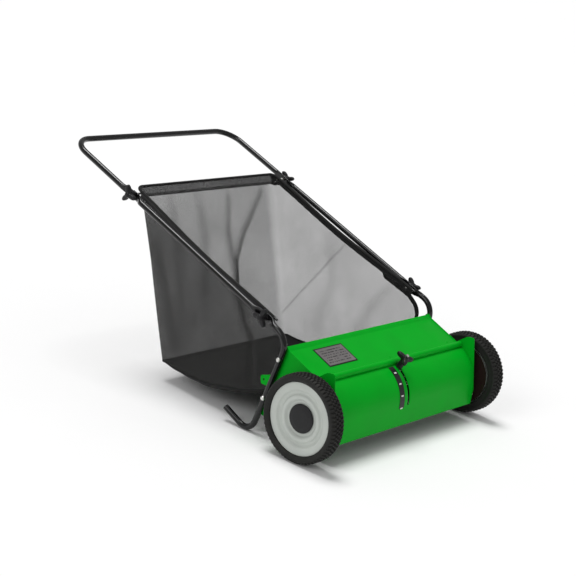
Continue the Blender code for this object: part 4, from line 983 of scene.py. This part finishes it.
def bag_lines():
    """Upper edge and bottom seam of the walls on the bag's left side, front to rear."""
    share = np.linspace(0.0, 1.0, 5)
    runs = 0.004 + (CLAMP_SPACING - 0.040) * share
    under_rod = on_handle(runs[:, None], 0.0032)
    under_rod[:, 0] = rod_x(share) - 0.0050
    under_rod = under_rod + np.array([0.0, 0.001, -0.008])
    hem = np.vstack([[(BAG_FRONT_X, 0.131, 0.156), (BAG_FRONT_X, 0.138, 0.180),
                      (BAG_FRONT_X, 0.152, 0.201)], under_rod])
    hem[-1] = (0.2975, 0.592, 0.4900)
    hem = np.vstack([hem, [0.2960, 0.668 - HEM_CORNER, 0.5290]])
    seam = np.array([(BAG_FRONT_X, 0.178, 0.040), (0.311, 0.211, 0.032), (0.308, 0.302, 0.022),
                     (0.300, 0.397, 0.020), (0.290, 0.484, 0.027), (0.281, 0.553, 0.040),
                     (0.278, 0.596, 0.052)])
    return hem, seam


def outwards(grid):
    """Level unit vectors across the rows of a wall's grid, away from the inside of the bag."""
    ahead = np.gradient(grid, axis=1)
    away = np.stack([ahead[..., 1], -ahead[..., 0], np.zeros(grid.shape[:2])], axis=-1)
    away /= np.linalg.norm(away, axis=-1, keepdims=True) + 1e-9
    return away


def crease(place, knots, width):
    """Bell of the distance from each (a, b) place to a broken line: exp(-(d / width)^2)."""
    knots = np.asarray(knots, float)
    start, end = knots[:-1], knots[1:]
    span = end - start
    rel = place[..., None, :] - start
    t = np.clip((rel * span).sum(-1) / (span ** 2).sum(-1), 0.0, 1.0)
    gap = np.linalg.norm(rel - t[..., None] * span, axis=-1).min(axis=-1)
    return np.exp(-(gap / width) ** 2)


def build_bag_walls():
    """Mesh walls lofted from the hem down to the seam, with gathered folds hung from it, and painted
    shade along the folds and over the near and rear walls.
    """
    hem, seam = bag_lines()
    hem = bowed(around_bag(hem, HEM_CORNER, *COUNTS))
    seam = around_bag(seam, SEAM_CORNER, *COUNTS) + np.array([0.0, 0.0, -0.001])
    down = np.linspace(0.0, 1.0, 90)[:, None]
    flat_grid = hem[None] * (1 - down[..., None]) + seam[None] * down[..., None]
    away, belly = outwards(flat_grid), np.sin(math.pi * down)
    world = parked(flat_grid)
    count = flat_grid.shape[1]
    station = np.linspace(0.0, 1.0, count)[None, :]
    x, y, z = world[..., 0], world[..., 1], world[..., 2]
    columns = np.arange(count)
    on_rear = ((columns > COUNTS[0] - 6) & (columns < count - COUNTS[0] + 6))[None, :]
    on_left = (columns <= COUNTS[0] + 4)[None, :]
    on_right = (columns >= count - COUNTS[0] - 4)[None, :]
    rear_place, side_place = np.stack([x, z], -1), np.stack([y, z], -1)
    # Each fold: wall, place, crease line, width, depth it is pushed in, and painted shade added along the
    # crease.
    folds = [
        (on_rear, rear_place, [(0.222, 0.486), (0.128, 0.380), (0.070, 0.298), (0.062, 0.236)],
         0.016, 0.010, 0.50),
        (on_rear, rear_place, [(0.070, 0.480), (0.052, 0.380), (0.064, 0.226),
                               (0.090, 0.160), (0.125, 0.080)], 0.018, 0.007, 0.35),
        (on_rear, rear_place, [(-0.060, 0.500), (-0.050, 0.360), (-0.080, 0.150)], 0.03, 0.006, 0.2),
        (on_rear, rear_place, [(-0.180, 0.490), (-0.165, 0.330), (-0.195, 0.100)], 0.03, 0.005, 0.2),
        (on_left, side_place, [(0.001, 0.392), (0.205, 0.080)], 0.0035, 0.0016, 0.35),
        (on_left, side_place, [(0.275, 0.330), (0.215, 0.078)], 0.0035, 0.0016, 0.3),
        (on_left, side_place, [(-0.190, 0.320), (-0.135, 0.240), (-0.100, 0.140)], 0.026, 0.005, 0.15),
        (on_left, side_place, [(0.060, 0.410), (0.020, 0.280), (0.040, 0.120)], 0.030, 0.005, 0.12),
        (on_right, side_place, [(-0.108, 0.345), (-0.140, 0.277), (-0.182, 0.233),
                                (-0.200, 0.120)], 0.014, 0.007, 0.7),
        (on_right, side_place, [(0.225, 0.380), (0.160, 0.240), (0.115, 0.110)], 0.026, 0.005, 0.40),
        (on_right, side_place, [(0.020, 0.390), (0.035, 0.260), (0.080, 0.110)], 0.034, 0.005, 0.15),
    ]
    inside = belly * (1 - np.exp(-((columns - COUNTS[0]) / 9.0) ** 2)
                      - np.exp(-((columns - count + COUNTS[0]) / 9.0) ** 2))
    push = -0.0035 * inside + 0.0018 * np.sin(station * 61.0 + 3.0 * down) * inside
    push = push + 0.0010 * np.sin(station * 143.0 + 5.0 * down + 1.3) * belly ** 0.5
    # Painted shade: the near and rear walls start denser, and so darker, than the far wall.
    fold = PAINTED_WALL_SHADE * (1 - smooth_step(x, 0.240, 0.285)) * np.ones_like(push)
    ends = np.sin(math.pi * np.clip(down, 0.03, 0.97)) ** 0.35
    for where, place, knots, width, depth, dark in folds:
        bell = crease(place, knots, width) * where * ends
        push = push - depth * bell
        # Painted shade along the crease: the mesh is made denser there, and so darker.
        fold = fold + dark * crease(place, knots, width * 0.75) * where * ends
    grid = flat_grid + away * push[..., None]
    cloth_wall = add_piece("bag_mesh_walls", parked(grid), grid_faces(*grid.shape[:2]),
                           MESH_CLOTH, uv=metre_map(grid), solid=False, bend=80.0,
                           extra={"fold": fold})
    add_thickness(cloth_wall, MESH_THICKNESS)
    finish_piece(cloth_wall, "bag", "mesh_cloth", "bag_mesh")
    around = arc_length(flat_grid[len(down) // 2])[-1]
    heights = np.linalg.norm(seam - hem, axis=1)
    steps = np.gradient(arc_length(flat_grid[len(down) // 2]))
    cut_area = float((heights * steps).sum())
    return cloth_wall, (float(around), float(heights.max())), cut_area


def add_thickness(piece, thickness):
    """Give a cloth its thickness, half to each side."""
    shell = piece.modifiers.new("cloth_thickness", "SOLIDIFY")
    shell.thickness, shell.offset = thickness, 0.0


def build_bag_floor():
    """Black tray: across the bag z = seam - sag sqrt(1 - t^4), so it drops steeply from the
    seam and hangs nearly level between, deepest in the middle of its length.  It rises to the
    seam again at the back, as sqrt(1 - share^34)."""
    seam = around_bag(bag_lines()[1], SEAM_CORNER, *COUNTS)
    half = seam[:COUNTS[0] + 8]
    share = np.linspace(0.0, 1.0, len(half))[:, None]
    rise = np.sqrt(1 - share ** 34)
    sag = (0.010 + 0.023 * np.sin(math.pi * share) ** 0.7) * rise
    t = np.sin(np.linspace(1.0, -1.0, 91) * math.pi / 2)[None, :]
    slack = 0.5 * np.sin(share * 19.0 + 0.7) + 0.5 * np.sin(share * 43.0 + np.sign(t))
    x = (half[:, :1] + 0.0006) * t - 0.0040 * slack * np.abs(t) ** 5 * (1 - t ** 16) * np.sign(t)
    ripple = 0.0011 * np.sin(share * 40.0 + 3.0 * t) * np.sin(math.pi * share) * rise
    z = half[:, 2:] - sag * np.sqrt(1 - t ** 4) + (ripple + 0.0030 * slack * t ** 2 * rise) * (1 - t ** 8)
    grid = np.stack(np.broadcast_arrays(x, half[:, 1:2], z), axis=-1)
    tray = add_piece("bag_floor_cloth", parked(grid), grid_faces(*grid.shape[:2]), BLACK_CLOTH,
                     uv=metre_map(grid), solid=False, bend=80.0)
    add_thickness(tray, TRAY_THICKNESS)
    finish_piece(tray, "bag", "black_cloth", "bag_floor")
    return tray, (0.640, float(arc_length(grid[:, 45])[-1]))


def keyhole(height, radius=0.0047, thick=0.0011):
    """Section of a sleeve: round the rod, then both layers down to the stitched edge.
    (a outwards, b downwards), a closed loop of 36 points."""
    opening = math.asin(thick / 2 / radius)
    a = np.linspace(math.pi - opening - 0.35, -math.pi + opening + 0.35, 24)
    ring = np.stack([radius * np.sin(a), -radius * np.cos(a)], axis=-1)
    drop = np.linspace(radius * 1.25, height, 6)
    right = np.stack([np.full(6, -thick / 2), drop], axis=-1)
    left = np.stack([np.full(6, thick / 2), drop[::-1]], axis=-1)
    return np.vstack([left, ring, right])


def frame_rod_line():
    """Middle of the frame rod from one front end round the back to the other, and the
    straight length of one side."""
    front, rear = on_handle(ROD_FRONT + 0.010, ROD_RISE), on_handle(ROD_REAR, ROD_RISE)
    corners = np.array([[rod_x(0.0), *front[1:]], [rod_x(1.0), *rear[1:]],
                        [-rod_x(1.0), *rear[1:]], [-rod_x(0.0), *front[1:]]])
    path = bowed(evenly(arc_path(corners, [0.022, 0.022], 12), 0.004))
    return path, np.linalg.norm(corners[1] - corners[0])


def build_hem():
    """Black sleeve that holds the frame rod, sewn along the top of the walls: deeper along
    the back, and deeper for a hand's width at one front end."""
    path, side = frame_rod_line()
    run = arc_length(path)
    from_end = np.minimum(run, run[-1] - run)
    right_side = run > run[-1] / 2
    height = np.where(right_side, 0.021, 0.016)
    height = height + (0.030 - height) * smooth_step(from_end, side - 0.035, side - 0.005)
    height = height + 0.013 * (1 - smooth_step(from_end, 0.112, 0.119)) * ~right_side
    tangent = unit_tangents(path)
    out = np.stack([tangent[:, 1], -tangent[:, 0], np.zeros(len(path))], axis=-1)
    out /= np.linalg.norm(out, axis=1, keepdims=True)
    middle = np.array([0.0, 0.40, 0.40])
    out = out * np.sign(((path - middle) * out).sum(axis=1, keepdims=True))
    down = np.array([0.0, 0.05, -1.0])
    sections = np.stack([keyhole(h) for h in height])
    wave = 0.0006 * np.sin(run * 190.0)[:, None] * smooth_step(sections[..., 1], 0.006, 0.016)
    lean_in = -0.0045 * smooth_step(sections[..., 1], 0.003, 0.016)
    a = sections[..., 0] + wave + lean_in
    grid = path[:, None] + a[..., None] * out[:, None] + sections[..., 1:] * down
    on_side = 1 - smooth_step(from_end, side - 0.010, side + 0.012)
    close_woven = np.repeat(on_side[:, None], grid.shape[1], axis=1)
    sleeve = add_piece("bag_hem_sleeve", parked(grid), tube_faces(grid), HEM_CLOTH,
                       uv=metre_map(grid), bend=60.0, extra={"fold": close_woven})
    return finish_piece(sleeve, "bag", "black_cloth", "bag_hem")


def build_front_bands():
    """Black bands folded over the front edges of the walls, narrower towards the seam."""
    bands = []
    edge = smooth_line([(0.3125, 0.166, 0.234), (0.3125, 0.146, 0.213), (0.3125, 0.130, 0.192),
                        (0.3125, 0.1245, 0.170), (0.3125, 0.130, 0.150),
                        (0.3125, 0.152, 0.098), (0.3125, 0.178, 0.041)], 60)
    inward = np.cross(unit_tangents(edge), X_AXIS)
    inward = inward * np.sign(inward[:, 1:2])
    wide = 0.0125 - 0.0060 * smooth_step(np.linspace(0, 1, 60), 0.30, 0.55)
    loop = softened([(0.0, -0.0016), (1.0, -0.0008), (1.0, 0.0008), (0.0, 0.0016),
                     (-0.12, 0.0012), (-0.12, -0.0012)], 0.0006, 3, True)
    left = (edge[:, None] + (loop[None, :, :1] * wide[:, None, None]) * inward[:, None]
            + loop[None, :, 1:] * X_AXIS)
    for name, sign in SIDES:
        grid = left * np.array([sign, 1.0, 1.0])
        band = add_piece("bag_front_edge_" + name, parked(grid), tube_faces(grid), BLACK_CLOTH,
                         uv=metre_map(grid), bend=60.0)
        bands.append(finish_piece(band, "bag", "black_cloth"))
    return bands


def build_frame_rod():
    """Wire frame of the bag, its front ends bare past the sleeve."""
    end = on_handle(ROD_FRONT, ROD_RISE)
    ends = [np.array([[sign * rod_x(0.0), *end[1:]]]) for sign in (1.0, -1.0)]
    path = np.vstack([ends[0], frame_rod_line()[0], ends[1]])
    grid = swept(path, HANDLE_UP,
                 np.broadcast_to((ROD_RADIUS - 0.0001) * circle(16), (len(path), 16, 2)))
    wire = add_piece("bag_frame_rod", parked(grid), tube_faces(grid), BLACK_PAINT)
    return finish_piece(wire, "bag", "black_paint", "bag_frame")


def build_seams():
    """Piping along the bottom seam, where the mesh is sewn to the black tray."""
    seam = around_bag(bag_lines()[1], SEAM_CORNER, *COUNTS)
    away = outwards(seam[None])[0]
    up = np.cross(unit_tangents(seam), away)
    ring = PIPING_RADIUS * circle(10)
    grid = seam[:, None] + ring[:, :1] * away[:, None] + ring[:, 1:] * up[:, None]
    piping = add_piece("bag_seam_piping", parked(grid), tube_faces(grid), BLACK_CLOTH,
                       uv=metre_map(grid))
    return finish_piece(piping, "bag", "black_cloth")


# ---------------------------------------------------------------- room, light and camera
def build_room():
    """A wide pale floor just under the lowest point of the machine."""
    floor = bpy.data.materials.new("pale_floor")
    floor.use_nodes = True
    tree = floor.node_tree
    shader = tree.nodes["Principled BSDF"]
    place = tree.nodes.new("ShaderNodeTexCoord").outputs["Object"]
    mottled = add_node(tree, "ShaderNodeTexNoise", {"Vector": place, "Scale": 3.0, "Detail": 3.0})
    tone = mixed(tree, mottled.outputs[0], (0.965, 0.965, 0.965, 1.0), (0.985, 0.985, 0.985, 1.0))
    tree.links.new(tone, shader.inputs["Base Color"])
    shader.inputs["Roughness"].default_value = 0.9
    shader.inputs["Specular IOR Level"].default_value = 0.1
    size = 30.0
    mesh = bpy.data.meshes.new("floor")
    mesh.from_pydata([(-size, -size, 0), (size, -size, 0), (size, size, 0), (-size, size, 0)],
                     [], [(0, 1, 2, 3)])
    mesh.materials.append(floor)
    ground = bpy.data.objects.new("floor", mesh)
    ground.location.z = -0.0005
    bpy.context.scene.collection.objects.link(ground)


def add_sky_light(name, heading, height, spread, strength):
    """A broad lamp far away: heading, height and spread of its disc in degrees."""
    lamp = bpy.data.lights.new(name, "SUN")
    lamp.angle, lamp.energy = math.radians(spread), strength
    holder = bpy.data.objects.new(name, lamp)
    a, e = math.radians(heading), math.radians(height)
    shine = Vector((math.sin(a) * math.cos(e), -math.cos(a) * math.cos(e), math.sin(e)))
    holder.rotation_euler = (-shine).to_track_quat("-Z", "Y").to_euler()
    bpy.context.scene.collection.objects.link(holder)


def build_light():
    """Even pale surroundings with one soft lamp overhead and a weak one from the side."""
    world = bpy.data.worlds.new("studio")
    world.use_nodes = True
    backdrop = world.node_tree.nodes["Background"]
    backdrop.inputs["Color"].default_value = (1.0, 1.0, 1.0, 1.0)
    backdrop.inputs["Strength"].default_value = 0.38
    bpy.context.scene.world = world
    add_sky_light("overhead", 175.0, 76.0, 26.0, 1.85)
    add_sky_light("right_side", -92.0, 34.0, 30.0, 0.55)


def build_camera():
    """A long lens at hip height, turned to the machine's right front and rolled a little."""
    azimuth, elevation, roll = math.radians(-52.581), math.radians(15.820), math.radians(9.192)
    aim = Vector((-0.0983, 0.3334 + AXLE[1], 0.3363))
    back = Vector((math.sin(azimuth) * math.cos(elevation),
                   -math.cos(azimuth) * math.cos(elevation), math.sin(elevation)))
    forward = -back
    right = forward.cross(Vector((0.0, 0.0, 1.0))).normalized()
    up = right.cross(forward)
    tilted_right = math.cos(roll) * right + math.sin(roll) * up
    tilted_up = math.cos(roll) * up - math.sin(roll) * right
    lens = bpy.data.cameras.new("camera")
    lens.lens, lens.sensor_width = 96.567, 36.0
    camera = bpy.data.objects.new("camera", lens)
    turn = Matrix((tilted_right, tilted_up, back)).transposed().to_4x4()
    camera.matrix_world = Matrix.Translation(aim + back * 4.3346) @ turn
    bpy.context.scene.collection.objects.link(camera)
    bpy.context.scene.camera = camera
    bpy.context.scene.view_settings.view_transform = "Standard"


# ---------------------------------------------------------------- the whole machine
dress_kept_nodes()
build_cover()
build_front_panel()
build_scale_marks()
build_cover_rivets()
build_bolts()
build_knobs()
build_wheels()
build_brush()
build_tubes()
walls, walls_flat, walls_area = build_bag_walls()
tray, tray_flat = build_bag_floor()
sleeve = build_hem()
bands = build_front_bands()
wire = build_frame_rod()
piping = build_seams()
build_room()
build_light()
build_camera()
bpy.context.view_layer.update()
